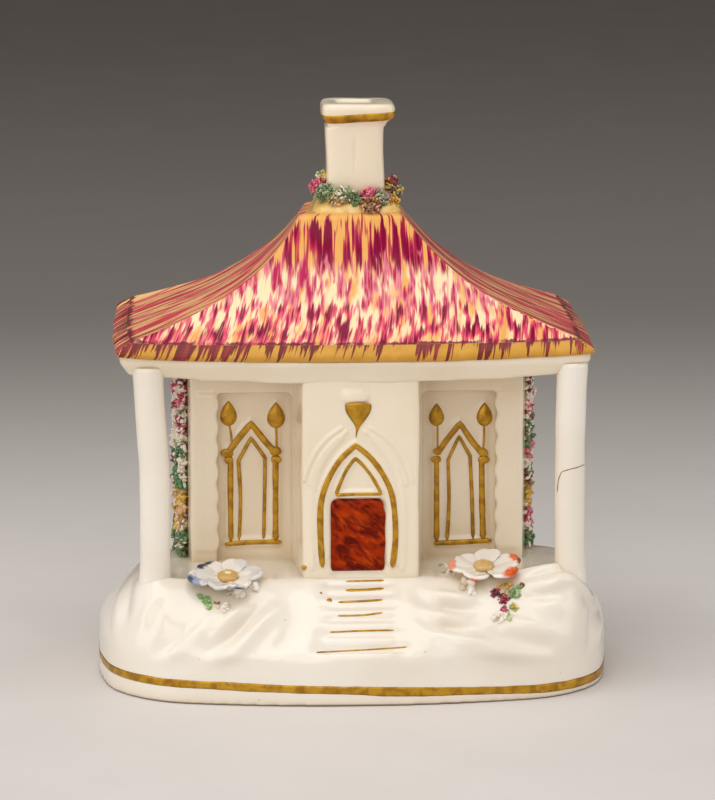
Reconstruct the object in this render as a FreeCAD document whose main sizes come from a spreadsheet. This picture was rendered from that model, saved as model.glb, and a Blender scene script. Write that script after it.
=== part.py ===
import FreeCAD, Part
import math
import os
import re
import Sketcher
from types import SimpleNamespace
from FreeCAD import Placement, Rotation, Vector

# Pastille burner: a porcelain summer house on an oval mound, about 128 mm tall.
# Millimetres, +X to the right as we face the front, +Y to the back, +Z up.
# The origin is the middle of the foot of the oval base.

SIZES = {
    # oval base
    "base_width": 114.3,
    "base_depth": 76.8,
    "base_side_bow": 9.5,
    "base_end_bow": 10.3,
    "base_corner_radius": 24.0,
    "foot_height": 11.0,
    "floor_height": 25.15,
    "front_shoulder": 15.5,
    "end_shoulder": 9.5,
    "back_shoulder": 30.0,
    "floor_side_bow": 1.2,
    "floor_end_bow": 1.0,
    "floor_corner_radius": 4.5,
    "base_wall": 4.0,
    "floor_thickness": 4.2,
    # flight of steps
    "step_width": 16.0,
    "step_foot_width": 22.0,
    "step_thickness": 2.2,
    "step_drop": 0.25,
    "step_landing": 1.0,
    "step_foot_lift": 0.15,
    "step_foot_setback": 1.0,
    "riser_growth": 1.19,
    "tread_growth": 0.93,
    # house walls
    "house_centre_x": 1.1,
    "porch_front": 21.5,
    "porch_half_width": 12.9,
    "porch_root_half_width": 14.9,
    "bay_front": 4.0,
    "bay_half_width": 37.3,
    "rear_half_width": 41.1,
    "house_rear": 25.0,
    "wall": 3.0,
    "plinth_margin": 1.0,
    "recess_depth": 2.5,
    "recess_foot": 0.6,
    "recess_height": 37.8,
    "quoin_strip": 7.0,
    "quoin_foot": 2.4,
    "quoin_joint": 0.3,
    "quoin_margin": 1.0,
    "quoin_height": 4.7,
    "quoin_pitch": 5.2,
    "quoin_relief": 0.5,
    # opening at the back for the pastille
    "back_door_width": 26.0,
    "back_door_spring": 18.0,
    "back_door_rise": 10.0,
    # windows
    "window_shift": 0.8,
    "window_clearance": 1.3,
    "window_sill_overhang": 0.7,
    "window_sill_lift": 3.5,
    "window_sill_thickness": 1.3,
    "window_column_width": 1.25,
    "window_head_room": 20.85,
    "window_capital_height": 2.9,
    "window_capital_overhang": 0.9,
    "window_capital_bevel": 0.5,
    "window_gable_rise": 6.8,
    "window_gable_band": 1.5,
    "window_relief": 0.9,
    "casement_gap": 1.15,
    "casement_spring_lift": 0.8,
    "casement_rise": 5.4,
    "casement_band": 0.65,
    "casement_relief": 0.5,
    "finial_stem_width": 0.6,
    "finial_stem_height": 5.4,
    "finial_leaf_width": 3.5,
    "finial_leaf_height": 6.1,
    # doorway
    "door_centre_x": 0.5,
    "door_half_width": 6.1,
    "door_sill": 1.35,
    "door_head_room": 26.75,
    "door_corner": 1.6,
    "door_pocket": 1.2,
    "door_thickness": 0.9,
    "arch_foot_half_width": 8.5,
    "arch_half_width": 9.1,
    "arch_spring_lift": 0.35,
    "arch_rise": 12.8,
    "arch_band": 1.35,
    "arch_relief": 0.7,
    "arch_bulge": 1.3,
    "overdoor_half_width": 5.5,
    "overdoor_gap": 0.35,
    "overdoor_height": 8.9,
    "overdoor_band": 0.9,
    "overdoor_sag": 0.35,
    "hood_foot_half_width": 11.4,
    "hood_lift": 2.8,
    "hood_head_half_width": 2.4,
    "hood_rise": 12.9,
    "hood_band": 1.5,
    "hood_bow": 1.5,
    "hood_relief": 0.5,
    "bell_width": 6.1,
    "bell_clearance": 1.3,
    "bell_height": 7.0,
    "bell_tip_width": 0.7,
    "bell_sweep": 0.9,
    "bell_relief": 1.3,
    "corbel_height": 3.0,
    "corbel_relief": 0.9,
    # roof and its eaves
    "roof_centre_y": 5.6,
    "roof_top_shift": 1.25,
    "eave_half_width": 53.6,
    "eave_half_depth": 30.9,
    "eave_side_bow": 1.9,
    "eave_end_bow": 0.9,
    "eave_corner_radius": 3.0,
    "eave_height": 77.0,
    "roof_top_half_width": 10.3,
    "roof_top_half_depth": 10.4,
    "roof_slope_rise": 16.0,
    "roof_sweep_rise": 11.3,
    "roof_thickness": 3.0,
    "rim_height": 3.3,
    "rim_margin": 0.7,
    "rim_tuck": 1.3,
    "dish_radius": 650.0,
    "slab_thickness": 5.3,
    "slab_top_inset": 1.0,
    "slab_bottom_inset": 3.4,
    "smoke_hole_width": 34.0,
    "smoke_hole_depth": 20.0,
    "smoke_hole_setback": 3.0,
    "smoke_hole_corner": 3.0,
    # chimney
    "chimney_centre_x": 1.25,
    "chimney_centre_y": 5.2,
    "collar_half_width": 9.6,
    "collar_half_depth": 8.9,
    "collar_height": 2.8,
    "stack_foot_half_width": 7.1,
    "stack_half_width": 6.2,
    "stack_half_depth": 5.6,
    "stack_foot_height": 4.5,
    "stack_corner": 1.0,
    "stack_top": 122.9,
    "flue_width": 7.2,
    "flue_depth": 5.8,
    "flue_corner": 0.8,
    "cap_half_width": 8.25,
    "cap_shift": 0.45,
    "cap_half_depth": 6.8,
    "cap_height": 5.3,
    "cap_flare": 1.3,
    "cap_corner": 1.5,
    "cap_lip": 0.6,
    # porch columns
    "column_inset": 7.4,
    "column_centre_x": 1.75,
    "column_setback": 5.5,
    "column_foot_radius": 3.35,
    "column_head_radius": 3.5,
    "column_root": 6.0,
    # applied flowers and moss
    "flower_radius": 8.4,
    "flower_notch_radius": 6.0,
    "flower_thickness": 1.3,
    "flower_cup": 1.5,
    "flower_eye_radius": 2.3,
    "flower_tilt": 12.0,
    "left_flower_x": -29.0,
    "right_flower_x": 28.2,
    "left_flower_setback": 15.0,
    "right_flower_setback": 17.4,
    "right_flower_lift": 0.8,
    "left_flower_turn": 12.0,
    "right_flower_turn": 40.0,
    "moss_radius": 2.4,
    "moss_pitch": 3.1,
    "moss_row_pitch": 2.2,
    "moss_setback": 5.0,
    "garland_radius": 2.2,
    "garland_back": 9.0,
    "garland_foot_gap": 2.6,
    "garland_head_gap": 1.6,
    # pastille
    "pastille_radius": 5.0,
    "pastille_tip_radius": 0.8,
    "pastille_height": 15.0,
    "pastille_y": 9.0,
    "pastille_clearance": 0.25,
}

RIM_SHARE = 0.94
FRONT_FULLNESS = 1.15
END_FULLNESS = 1.35
BACK_FULLNESS = 1.5
STEP_COUNT = 6
QUOIN_COUNT = 7
PETAL_COUNT = 6
GARLAND_COUNT = 19
WREATH_COUNT = 18
CLUMP_TURN = 40

doc = FreeCAD.newDocument("PastilleBurner")
sheet = doc.addObject("Spreadsheet::Sheet", "Sizes")
for row, (alias, value) in enumerate(SIZES.items(), start=1):
    sheet.set("A%d" % row, alias)
    sheet.set("B%d" % row, str(value))
    sheet.setAlias("B%d" % row, alias)
doc.recompute()
size = SimpleNamespace(**{alias: float(sheet.get(alias)) for alias in SIZES})
nodes = []


# Expressions and sketches

def bound(text):
    """Turn the sheet's words in an expression into references to the sheet."""

    def reference(word):
        return "Sizes." + word.group(0) if word.group(0) in SIZES else word.group(0)

    return re.sub(r"[a-z][a-z_]+", reference, text)


def number(text):
    return float(doc.Sizes.evalExpression(bound(text)))


def origin_plane(body, role):
    return next(plane for plane in body.Origin.OriginFeatures if plane.Role == role)


def arc_radius(start, end, rise):
    chord = "((%s)-(%s))^2+((%s)-(%s))^2" % (end[0], start[0], end[1], start[1])
    return "(%s)/(8*(%s))+(%s)/2" % (chord, rise, rise)


def draw_edge(sketch, start, end):
    """Draw one edge of a loop. A third item in start is the rise of an arc, and
    a minus sign in front of it makes the arc bulge towards the loop's inside."""
    first = Vector(number(start[0]), number(start[1]), 0)
    last = Vector(number(end[0]), number(end[1]), 0)
    if len(start) == 2:
        return sketch.addGeometry(Part.LineSegment(first, last), False), 1, 2
    inward = start[2].startswith("-")
    rise = start[2].lstrip("-")
    along = (last - first).normalize()
    outward = Vector(along.y, -along.x, 0) * (-1 if inward else 1)
    middle = (first + last) * 0.5 + outward * number(rise)
    if inward:
        edge = sketch.addGeometry(Part.Arc(last, middle, first), False)
        ends = (2, 1)
    else:
        edge = sketch.addGeometry(Part.Arc(first, middle, last), False)
        ends = (1, 2)
    radius = arc_radius(start, end, rise)
    place = sketch.addConstraint(Sketcher.Constraint("Radius", edge, number(radius)))
    sketch.setExpression("Constraints[%d]" % place, bound(radius))
    return edge, ends[0], ends[1]


def draw_loop(sketch, corners):
    """Draw a closed loop, anticlockwise, whose corners are bound to the sheet."""
    edges = [draw_edge(sketch, corner, corners[(place + 1) % len(corners)])
             for place, corner in enumerate(corners)]
    for place, corner in enumerate(corners):
        edge, start, _ = edges[place]
        before, _, end = edges[place - 1]
        sketch.addConstraint(Sketcher.Constraint("Coincident", before, end, edge, start))
        for kind, text in (("DistanceX", corner[0]), ("DistanceY", corner[1])):
            added = sketch.addConstraint(Sketcher.Constraint(kind, -1, 1, edge, start, number(text)))
            sketch.setExpression("Constraints[%d]" % added, bound(text))


def add_sketch(body, name, plane, lift, loops):
    sketch = body.newObject("Sketcher::SketchObject", name)
    sketch.AttachmentSupport = (origin_plane(body, plane), "")
    sketch.MapMode = "FlatFace"
    sketch.setExpression("AttachmentOffset.Base.z", bound(lift))
    for corners in loops:
        draw_loop(sketch, corners)
    return sketch


def add_pad(body, name, plane, lift, loops, length):
    pad = body.newObject("PartDesign::Pad", name + "_pad")
    pad.Profile = add_sketch(body, name + "_sketch", plane, lift, loops)
    pad.setExpression("Length", bound(length))
    body.Tip = pad
    return pad


def add_pocket(body, name, plane, lift, loops, depth):
    pocket = body.newObject("PartDesign::Pocket", name + "_pocket")
    pocket.Profile = add_sketch(body, name + "_sketch", plane, lift, loops)
    pocket.setExpression("Length", bound(depth))
    body.Tip = pocket
    return pocket


def add_body(label):
    body = doc.addObject("PartDesign::Body", label)
    body.Label = label
    body.AllowCompound = True
    return body


def relief_body(label, face, loops, length):
    """A moulded relief on a face that looks to the front, at Y = -face."""
    body = add_body(label)
    add_pad(body, label, "XZ_Plane", face, loops, length)
    return body


def keep(item, label=None):
    """Name a finished piece, which becomes one node."""
    if label:
        item.Label = label
    nodes.append(item)
    return item


def boolean(kind, name, base, tool):
    item = doc.addObject("Part::" + kind, name)
    item.Base = base
    item.Tool = tool
    return item


def solid_feature(name, shape):
    item = doc.addObject("Part::Feature", name)
    item.Shape = shape
    return item


def mirrored(corners, centre):
    """The same loop on the other side of X = centre, still anticlockwise."""
    turned = []
    count = len(corners)
    for place in range(count):
        corner = corners[(count - place) % count]
        arc = corners[(count - place - 1) % count][2:]
        turned.append(("2*(%s)-(%s)" % (centre, corner[0]), corner[1]) + tuple(arc))
    return turned


# Outlines made of tangent arcs, and lofts through them

def bowed_outline(half_width, half_depth, side_bow, end_bow, corner, centre, height):
    """A rectangle with bowed sides and round corners: eight arcs, tangent all round."""
    side_radius = (half_width ** 2 + side_bow ** 2) / (2 * side_bow)
    end_radius = (half_depth ** 2 + end_bow ** 2) / (2 * end_bow)
    side_centre = Vector(0, side_radius - half_depth, 0)
    end_centre = Vector(half_width - end_radius, 0, 0)
    reach_side = side_radius - corner
    reach_end = end_radius - corner
    apart = end_centre - side_centre
    gap = apart.Length
    along = (reach_side ** 2 - reach_end ** 2 + gap ** 2) / (2 * gap)
    across = math.sqrt(reach_side ** 2 - along ** 2)
    axis = apart * (1 / gap)
    corner_centre = side_centre + axis * along + Vector(-axis.y, axis.x, 0) * across
    if corner_centre.y > 0:
        corner_centre = side_centre + axis * along - Vector(-axis.y, axis.x, 0) * across
    to_side = (corner_centre - side_centre).normalize()
    to_end = (corner_centre - end_centre).normalize()
    side_touch = side_centre + to_side * side_radius
    end_touch = end_centre + to_end * end_radius
    corner_middle = corner_centre + (to_side + to_end).normalize() * corner

    def place(point, flip_x, flip_y):
        return Vector(centre[0] + flip_x * point.x, centre[1] + flip_y * point.y, height)

    front = Vector(0, -half_depth, 0)
    end = Vector(half_width, 0, 0)
    arcs = [
        (place(side_touch, -1, 1), place(front, 1, 1), place(side_touch, 1, 1)),
        (place(side_touch, 1, 1), place(corner_middle, 1, 1), place(end_touch, 1, 1)),
        (place(end_touch, 1, 1), place(end, 1, 1), place(end_touch, 1, -1)),
        (place(end_touch, 1, -1), place(corner_middle, 1, -1), place(side_touch, 1, -1)),
        (place(side_touch, 1, -1), place(front, 1, -1), place(side_touch, -1, -1)),
        (place(side_touch, -1, -1), place(corner_middle, -1, -1), place(end_touch, -1, -1)),
        (place(end_touch, -1, -1), place(end, -1, 1), place(end_touch, -1, 1)),
        (place(end_touch, -1, 1), place(corner_middle, -1, 1), place(side_touch, -1, 1)),
    ]
    return Part.Wire([Part.Arc(*arc).toShape() for arc in arcs])


def loft(outlines, ruled=False):
    return Part.makeLoft(outlines, True, ruled)


# Base

def mound_outline(height, spread, inset):
    """One level of the mound. Spread runs from 0 at the foot's rim to 1 at the floor."""

    def drawn_in(reach, fullness):
        return reach * (1 - (1 - spread ** fullness) ** (1 / fullness))

    def between(foot, floor):
        return foot + (floor - foot) * spread

    half_width = size.base_width / 2 - inset - drawn_in(size.end_shoulder, END_FULLNESS)
    front = -size.base_depth / 2 + inset + drawn_in(size.front_shoulder, FRONT_FULLNESS)
    back = size.base_depth / 2 - inset - drawn_in(size.back_shoulder, BACK_FULLNESS)
    return bowed_outline(half_width, (back - front) / 2, between(size.base_side_bow, size.floor_side_bow),
                         between(size.base_end_bow, size.floor_end_bow),
                         between(size.base_corner_radius, size.floor_corner_radius),
                         (0, (front + back) / 2), height)


def mound_solid(bottom, rim, top, inset):
    foot = loft([mound_outline(bottom, 0, inset), mound_outline(rim, 0, inset)], True)
    levels = [0, 0.25, 0.5, 0.75, 0.92, 1]
    shoulder = loft([mound_outline(rim + (top - rim) * level, level, inset) for level in levels])
    return foot.fuse(shoulder)


def shares(count, growth):
    """Lengths in a geometric row, as shares of their sum."""
    row = [growth ** place for place in range(count)]
    return [length / sum(row) for length in row]


def flight_of_steps(head_room):
    """Risers grow and treads shrink down the slope; the flight widens to its foot.
    With head room it is the notch in the mound that the flight lies in."""
    height = size.floor_height - size.step_drop
    depth = -size.porch_front - size.plinth_margin
    fall = height - size.foot_height - size.step_foot_lift
    run = size.base_depth / 2 - size.step_foot_setback + depth
    landing = depth + size.step_landing
    top = [Vector(0, landing, height)]
    for riser, tread in zip(shares(STEP_COUNT, size.riser_growth), shares(STEP_COUNT, size.tread_growth)):
        top.append(Vector(0, depth, height))
        height -= riser * fall
        top.append(Vector(0, depth, height))
        depth -= tread * run
    top.append(Vector(0, depth, height))
    if head_room:
        ceiling = size.floor_height + head_room
        top = [Vector(0, landing, ceiling), Vector(0, depth, ceiling)]
    bottom = [Vector(0, depth, height - size.step_thickness),
              Vector(0, landing, size.floor_height - size.step_drop - size.step_thickness)]
    profile = top + bottom
    flight = Part.Face(Part.makePolygon(profile + [profile[0]])).extrude(Vector(size.step_foot_width, 0, 0))
    half = size.step_foot_width / 2
    flight.translate(Vector(size.door_centre_x - half, 0, 0))
    top_half = size.step_width / 2
    plan = [Vector(-half, depth, 0), Vector(half, depth, 0), Vector(top_half, landing, 0),
            Vector(-top_half, landing, 0)]
    keeper = Part.Face(Part.makePolygon(plan + [plan[0]])).extrude(Vector(0, 0, size.floor_height * 2))
    keeper.translate(Vector(size.door_centre_x, 0, 0))
    return flight.common(keeper)


def make_base():
    outer = solid_feature("mound_form", mound_solid(0, size.foot_height, size.floor_height, 0))
    hollow_top = size.floor_height - size.floor_thickness
    hollow = solid_feature("mound_hollow",
                           mound_solid(-1, size.foot_height - 2, hollow_top, size.base_wall))
    plinth = add_body("house_plinth")
    left = "house_centre_x-"
    right = "house_centre_x+"
    margin = "plinth_margin"
    outline = [
        (left + "porch_half_width-" + margin, "-porch_front-" + margin),
        (right + "porch_half_width+" + margin, "-porch_front-" + margin),
        (right + "porch_root_half_width+" + margin, "-bay_front-" + margin),
        (right + "bay_half_width+" + margin, "-bay_front-" + margin),
        (right + "rear_half_width+" + margin, "house_rear+" + margin),
        (left + "rear_half_width-" + margin, "house_rear+" + margin),
        (left + "bay_half_width-" + margin, "-bay_front-" + margin),
        (left + "porch_root_half_width-" + margin, "-bay_front-" + margin),
    ]
    add_pad(plinth, "house_plinth", "XY_Plane", "foot_height-3", [outline], "floor_height-foot_height+3")
    keep(solid_feature("front_steps", flight_of_steps(0)), "front_steps")
    notch = solid_feature("step_notch", flight_of_steps(size.porch_front))
    ground = boolean("Fuse", "ground_form", outer, plinth)
    shell = boolean("Cut", "mound_shell", ground, hollow)
    keep(boolean("Cut", "base_mound", shell, notch), "base_mound")
    return ground


# House

WALL_FOOT = "floor_height"
WALL_LENGTH = "eave_height-rim_height-floor_height"
SLAB_TOP = "eave_height-rim_height"
SLAB_UNDERSIDE = "eave_height-rim_height-slab_thickness"


def make_dish():
    """The eaves hang in a shallow dish, lowest in the middle of each side, with the corners lifted."""
    dish = doc.addObject("Part::Sphere", "soffit_dish")
    dish.setExpression("Radius", bound("dish_radius"))
    dish.setExpression("Placement.Base.y", bound("roof_centre_y"))
    dish.setExpression("Placement.Base.z", bound(SLAB_UNDERSIDE + "+dish_radius"))
    dish.Placement.Rotation = Rotation(Vector(1, 0, 0), 90)
    return dish


def wall_node(label, body, dish):
    """A wall's top follows the underside of the eaves."""
    body.Label = label + "_blank"
    return keep(boolean("Cut", label, body, dish), label)


def side_sign(side):
    return "+" if side > 0 else "-"


def side_name(side):
    return "right" if side > 0 else "left"


def by_side(corners, side):
    """Loops are drawn for the right side; the left one is the mirror image in the house's middle."""
    return corners if side > 0 else mirrored(corners, "house_centre_x")


def cheek_x(depth):
    """X of the porch's cheek at a depth, as an expression, on the right side."""
    share = "(((%s)+porch_front)/(porch_front-bay_front+recess_depth))" % depth
    return "house_centre_x+porch_half_width+(porch_root_half_width-porch_half_width)*%s" % share


def flank_x(depth):
    """X of the side wall's outer face at a depth, as an expression, on the right side."""
    share = "(((%s)+bay_front)/(house_rear+bay_front))" % depth
    return "house_centre_x+bay_half_width+(rear_half_width-bay_half_width)*%s" % share


def make_porch_wall(dish):
    body = add_body("porch_wall")
    inner = "-bay_front+recess_depth+wall"
    right_side = [("house_centre_x+porch_half_width", "-porch_front"), (cheek_x(inner), inner),
                  (cheek_x(inner) + "-wall", inner),
                  ("house_centre_x+porch_half_width-wall", "-porch_front+wall")]
    left_side = [("2*house_centre_x-(%s)" % x, y) for x, y in reversed(right_side)]
    add_pad(body, "porch_wall", "XY_Plane", WALL_FOOT, [right_side + left_side], WALL_LENGTH)
    add_pocket(body, "doorway", "XZ_Plane", "porch_front", [door_outline()], "door_pocket")
    wall_node("porch_wall", body, dish)


def make_bay_wall(side, dish):
    label = side_name(side) + "_bay_wall"
    body = add_body(label)
    face = "-bay_front"
    inner = "-bay_front+recess_depth+wall"
    plan = [(cheek_x(face), face), (flank_x(face), face), (flank_x(inner), inner), (cheek_x(inner), inner)]
    add_pad(body, label, "XY_Plane", WALL_FOOT, [by_side(plan, side)], WALL_LENGTH)
    low = "floor_height+recess_foot"
    high = "floor_height+recess_foot+recess_height"
    inside = "house_centre_x+porch_half_width-wall"
    outside = "house_centre_x+bay_half_width-quoin_strip"
    recess = [(inside, low), (outside, low), (outside, high), (inside, high)]
    add_pocket(body, label + "_recess", "XZ_Plane", "bay_front", [by_side(recess, side)], "recess_depth")
    wall_node(label, body, dish)


def make_flank_wall(side, dish):
    label = side_name(side) + "_side_wall"
    body = add_body(label)
    front = "-bay_front+recess_depth+wall"
    back = "house_rear-wall"
    plan = [(flank_x(front) + "-wall", front), (flank_x(front), front), (flank_x(back), back),
            (flank_x(back) + "-wall", back)]
    add_pad(body, label, "XY_Plane", WALL_FOOT, [by_side(plan, side)], WALL_LENGTH)
    wall_node(label, body, dish)


def make_rear_wall(dish):
    """The back is plain, with the arched opening through which the pastille is put in."""
    body = add_body("rear_wall")
    inner = "house_rear-wall"
    right = [(flank_x(inner), inner), (flank_x("house_rear"), "house_rear")]
    left = [("2*house_centre_x-(%s)" % x, y) for x, y in reversed(right)]
    add_pad(body, "rear_wall", "XY_Plane", WALL_FOOT, [right + left], WALL_LENGTH)
    spring = "floor_height+back_door_spring"
    low = "floor_height-1"
    opening = [("house_centre_x-back_door_width/2", low), ("house_centre_x+back_door_width/2", low),
               ("house_centre_x+back_door_width/2", spring, "back_door_rise"),
               ("house_centre_x-back_door_width/2", spring)]
    add_pocket(body, "back_door", "XZ_Plane", "-house_rear+wall", [opening], "wall+1")
    wall_node("rear_wall", body, dish)


def make_quoins(side):
    """Rounded blocks up the outer strip of each bay."""
    label = side_name(side) + "_quoins"
    inner = "house_centre_x+bay_half_width-quoin_strip+quoin_joint"
    outer = "house_centre_x+bay_half_width-quoin_margin"
    loops = []
    for course in range(QUOIN_COUNT):
        low = "floor_height+quoin_foot+%d*quoin_pitch" % course
        high = low + "+quoin_height"
        block = [(inner, low), (outer, low), (outer, high), (inner, high, "quoin_height*0.3")]
        loops.append(by_side(block, side))
    keep(relief_body(label, "bay_front", loops, "quoin_relief"))


# Windows

WALL_HEIGHT = "(" + SLAB_UNDERSIDE + "-floor_height)"
WINDOW_COLUMN_TOP = "(" + WALL_HEIGHT + "-window_head_room)"
CASEMENT_SPRING = "(" + WINDOW_COLUMN_TOP + "+casement_spring_lift)"
CASEMENT_APEX = "(" + CASEMENT_SPRING + "+casement_rise)"
WINDOW_OFFSET = "((porch_root_half_width+bay_half_width-quoin_strip)/2+window_shift)"
SILL_HALF_WIDTH = "((bay_half_width-quoin_strip-porch_root_half_width)/2-window_clearance)"
WINDOW_HALF_WIDTH = "(" + SILL_HALF_WIDTH + "-window_sill_overhang)"
CASEMENT_HALF_WIDTH = "(" + WINDOW_HALF_WIDTH + "-window_column_width-casement_gap)"


def shifted(corners, centre):
    """Move a loop drawn about the middle of a wall's foot to its place on the house."""
    return [(centre + "+(%s)" % corner[0], "floor_height+(%s)" % corner[1]) + tuple(corner[2:])
            for corner in corners]


def symmetric(right_side):
    """Complete an outline from its right side, which runs from the foot up to the middle line."""
    left_side = []
    for place in range(len(right_side) - 2, -1, -1):
        x, y = right_side[place][:2]
        arc = right_side[place - 1][2:] if place else ()
        left_side.append(("-(%s)" % x, y) + tuple(arc))
    top = right_side[-1][:2] + tuple(right_side[-2][2:])
    return right_side[:-1] + [top] + left_side


def window_surround_loops():
    sill_top = "window_sill_lift+window_sill_thickness"
    cap_foot = WINDOW_COLUMN_TOP
    cap_top = WINDOW_COLUMN_TOP + "+window_capital_height"
    apex = cap_top + "+window_gable_rise"
    half = WINDOW_HALF_WIDTH
    inner = half + "-window_column_width"
    bevel = "window_capital_bevel"
    ear = half + "+window_capital_overhang"
    outside = symmetric([
        (SILL_HALF_WIDTH, "window_sill_lift"), (SILL_HALF_WIDTH, sill_top),
        (half, sill_top), (half, cap_foot), (ear, cap_foot + "+" + bevel), (ear, cap_top + "-" + bevel),
        (half, cap_top), ("0", apex)])
    opening = symmetric([
        (inner, sill_top), (inner, cap_foot + "+window_column_width*0.64"),
        ("0", apex + "-window_gable_band*1.35")])
    return outside, opening


def casement_loops():
    sill_top = "window_sill_lift+window_sill_thickness"
    half = CASEMENT_HALF_WIDTH
    outside = symmetric([(half, sill_top), (half, CASEMENT_SPRING), ("0", CASEMENT_APEX)])
    inside = symmetric([(half + "-casement_band", sill_top + "+casement_band"),
                        (half + "-casement_band", CASEMENT_SPRING + "-casement_band*0.4"),
                        ("0", CASEMENT_APEX + "-casement_band*1.9")])
    return outside, inside


def finial_loop(stem_x):
    foot = WINDOW_COLUMN_TOP + "+window_capital_height-window_capital_bevel"
    leaf = WINDOW_COLUMN_TOP + "+window_capital_height+finial_stem_height"
    tip = leaf + "+finial_leaf_height"
    stem = "finial_stem_width/2"
    widest = leaf + "+finial_leaf_height*0.36"
    shape = symmetric([(stem, foot), (stem, leaf, "finial_leaf_height*0.12"),
                       ("finial_leaf_width/2", widest, "finial_leaf_height*0.06"), ("0", tip)])
    return [(stem_x + "+(%s)" % corner[0],) + tuple(corner[1:]) for corner in shape]


def make_window(side):
    name = side_name(side)
    centre = "house_centre_x%s%s" % (side_sign(side), WINDOW_OFFSET)
    face = "bay_front-recess_depth"
    surround = relief_body(name + "_window_surround", face,
                           [shifted(loop, centre) for loop in window_surround_loops()], "window_relief")
    for hand in "-+":
        stem_x = "%s(%s-window_column_width/2)" % (hand, WINDOW_HALF_WIDTH)
        add_pad(surround, "%s_finial_%s" % (name, "ab"["-+".index(hand)]), "XZ_Plane", face,
                [shifted(finial_loop(stem_x), centre)], "window_relief")
    keep(surround)
    keep(relief_body(name + "_window_casement", face,
                     [shifted(loop, centre) for loop in casement_loops()], "casement_relief"))


# Doorway

DOOR_TOP = "(" + WALL_HEIGHT + "-door_head_room+door_sill)"
ARCH_SPRING = "(" + DOOR_TOP + "+arch_spring_lift)"
ARCH_APEX = "(" + ARCH_SPRING + "+arch_rise)"
HOOD_FOOT = "(" + ARCH_SPRING + "+hood_lift)"
HOOD_HEAD = "(" + HOOD_FOOT + "+hood_rise)"
BELL_TOP = "(" + ARCH_APEX + "+bell_clearance+bell_height)"


def door_outline():
    return shifted(symmetric([
        ("door_half_width", "door_sill"),
        ("door_half_width", DOOR_TOP + "-door_corner", "door_corner*(1-sqrt(0.5))"),
        ("door_half_width-door_corner", DOOR_TOP), ("0", DOOR_TOP)]), "door_centre_x")


def make_doorway():
    keep(relief_body("door_panel", "porch_front-door_pocket", [door_outline()], "door_thickness"))
    outer_foot = "arch_foot_half_width"
    band = "arch_band"
    outer = symmetric([(outer_foot, "door_sill"), ("arch_half_width", ARCH_SPRING, "arch_bulge"),
                       ("0", ARCH_APEX)])
    inner = symmetric([(outer_foot + "-" + band, "door_sill"),
                       ("arch_half_width-" + band, ARCH_SPRING, "arch_bulge"),
                       ("0", ARCH_APEX + "-arch_band*1.4")])
    keep(relief_body("door_arch", "porch_front", [shifted(ring_open_below(outer, inner), "door_centre_x")],
                     "arch_relief"))
    low = DOOR_TOP + "+overdoor_gap"
    outside = symmetric([("overdoor_half_width", low, "overdoor_sag"), ("0", low + "+overdoor_height")])
    inner_foot = ("overdoor_half_width-overdoor_band*1.9", low + "+overdoor_band", "overdoor_sag*0.85")
    inside = symmetric([inner_foot, ("0", low + "+overdoor_height-overdoor_band*2.1")])
    keep(relief_body("overdoor_window", "porch_front",
                     [shifted(outside, "door_centre_x"), shifted(inside, "door_centre_x")], "arch_relief"))


def ring_open_below(outer, inner):
    """Join an outer and an inner outline into one loop that is open at the foot."""
    count = len(inner)
    back = []
    for place in range(count - 1, -1, -1):
        arc = inner[place - 1][2:] if place else ()
        turned = tuple("-" + rise for rise in arc)
        back.append(inner[place][:2] + turned)
    return outer + back


def make_hood():
    """Two curved mouldings that rise from the porch's edges to the bell."""
    outer = [("hood_foot_half_width", HOOD_FOOT, "hood_bow"), ("hood_head_half_width", HOOD_HEAD),
             ("hood_head_half_width", HOOD_HEAD + "-hood_band*1.4", "-hood_bow*0.87"),
             ("hood_foot_half_width-hood_band", HOOD_FOOT)]
    left = mirrored(outer, "0")
    loops = [shifted(outer, "door_centre_x"), shifted(left, "door_centre_x")]
    keep(relief_body("hood_mould", "porch_front", loops, "hood_relief"))


def make_bell():
    tip = ("bell_tip_width/2", BELL_TOP + "-bell_height", "-bell_sweep")
    bell = symmetric([tip, ("bell_width/2", BELL_TOP), ("0", BELL_TOP)])
    keep(relief_body("arch_bell", "porch_front", [shifted(bell, "door_centre_x")], "bell_relief"))
    corbel_top = BELL_TOP + "+corbel_height"
    corbel = [("-bell_width/2", BELL_TOP), ("bell_width/2", BELL_TOP),
              ("bell_width/2", corbel_top), ("-bell_width/2", corbel_top)]
    keep(relief_body("bell_corbel", "porch_front", [shifted(corbel, "door_centre_x")], "corbel_relief"))


# Roof

def roof_level(share, inset, drop):
    """One level of the swept hipped roof. Share runs from 0 at the top to 1 at the eaves."""
    half_width = size.roof_top_half_width + share * (size.eave_half_width - size.roof_top_half_width)
    half_depth = size.roof_top_half_depth + share * (size.eave_half_depth - size.roof_top_half_depth)
    rise = 1 - share
    height = size.eave_height + size.roof_slope_rise * rise + size.roof_sweep_rise * rise ** 4
    bow = 0.35 + 0.65 * share
    return bowed_outline(half_width - inset, half_depth - inset, size.eave_side_bow * bow,
                         size.eave_end_bow * bow, size.eave_corner_radius,
                         (size.roof_top_shift * rise, size.roof_centre_y), height - drop)


def rim_level(height, inset):
    return bowed_outline(size.eave_half_width - inset, size.eave_half_depth - inset, size.eave_side_bow,
                         size.eave_end_bow, size.eave_corner_radius, (0, size.roof_centre_y), height)


def rounded_box(centre, half_width, half_depth, low, high, corner):
    bow = 0.02
    outline = bowed_outline(half_width, half_depth, bow * half_width, bow * half_depth, corner, centre, low)
    return Part.Face(outline).extrude(Vector(0, 0, high - low))


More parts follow.
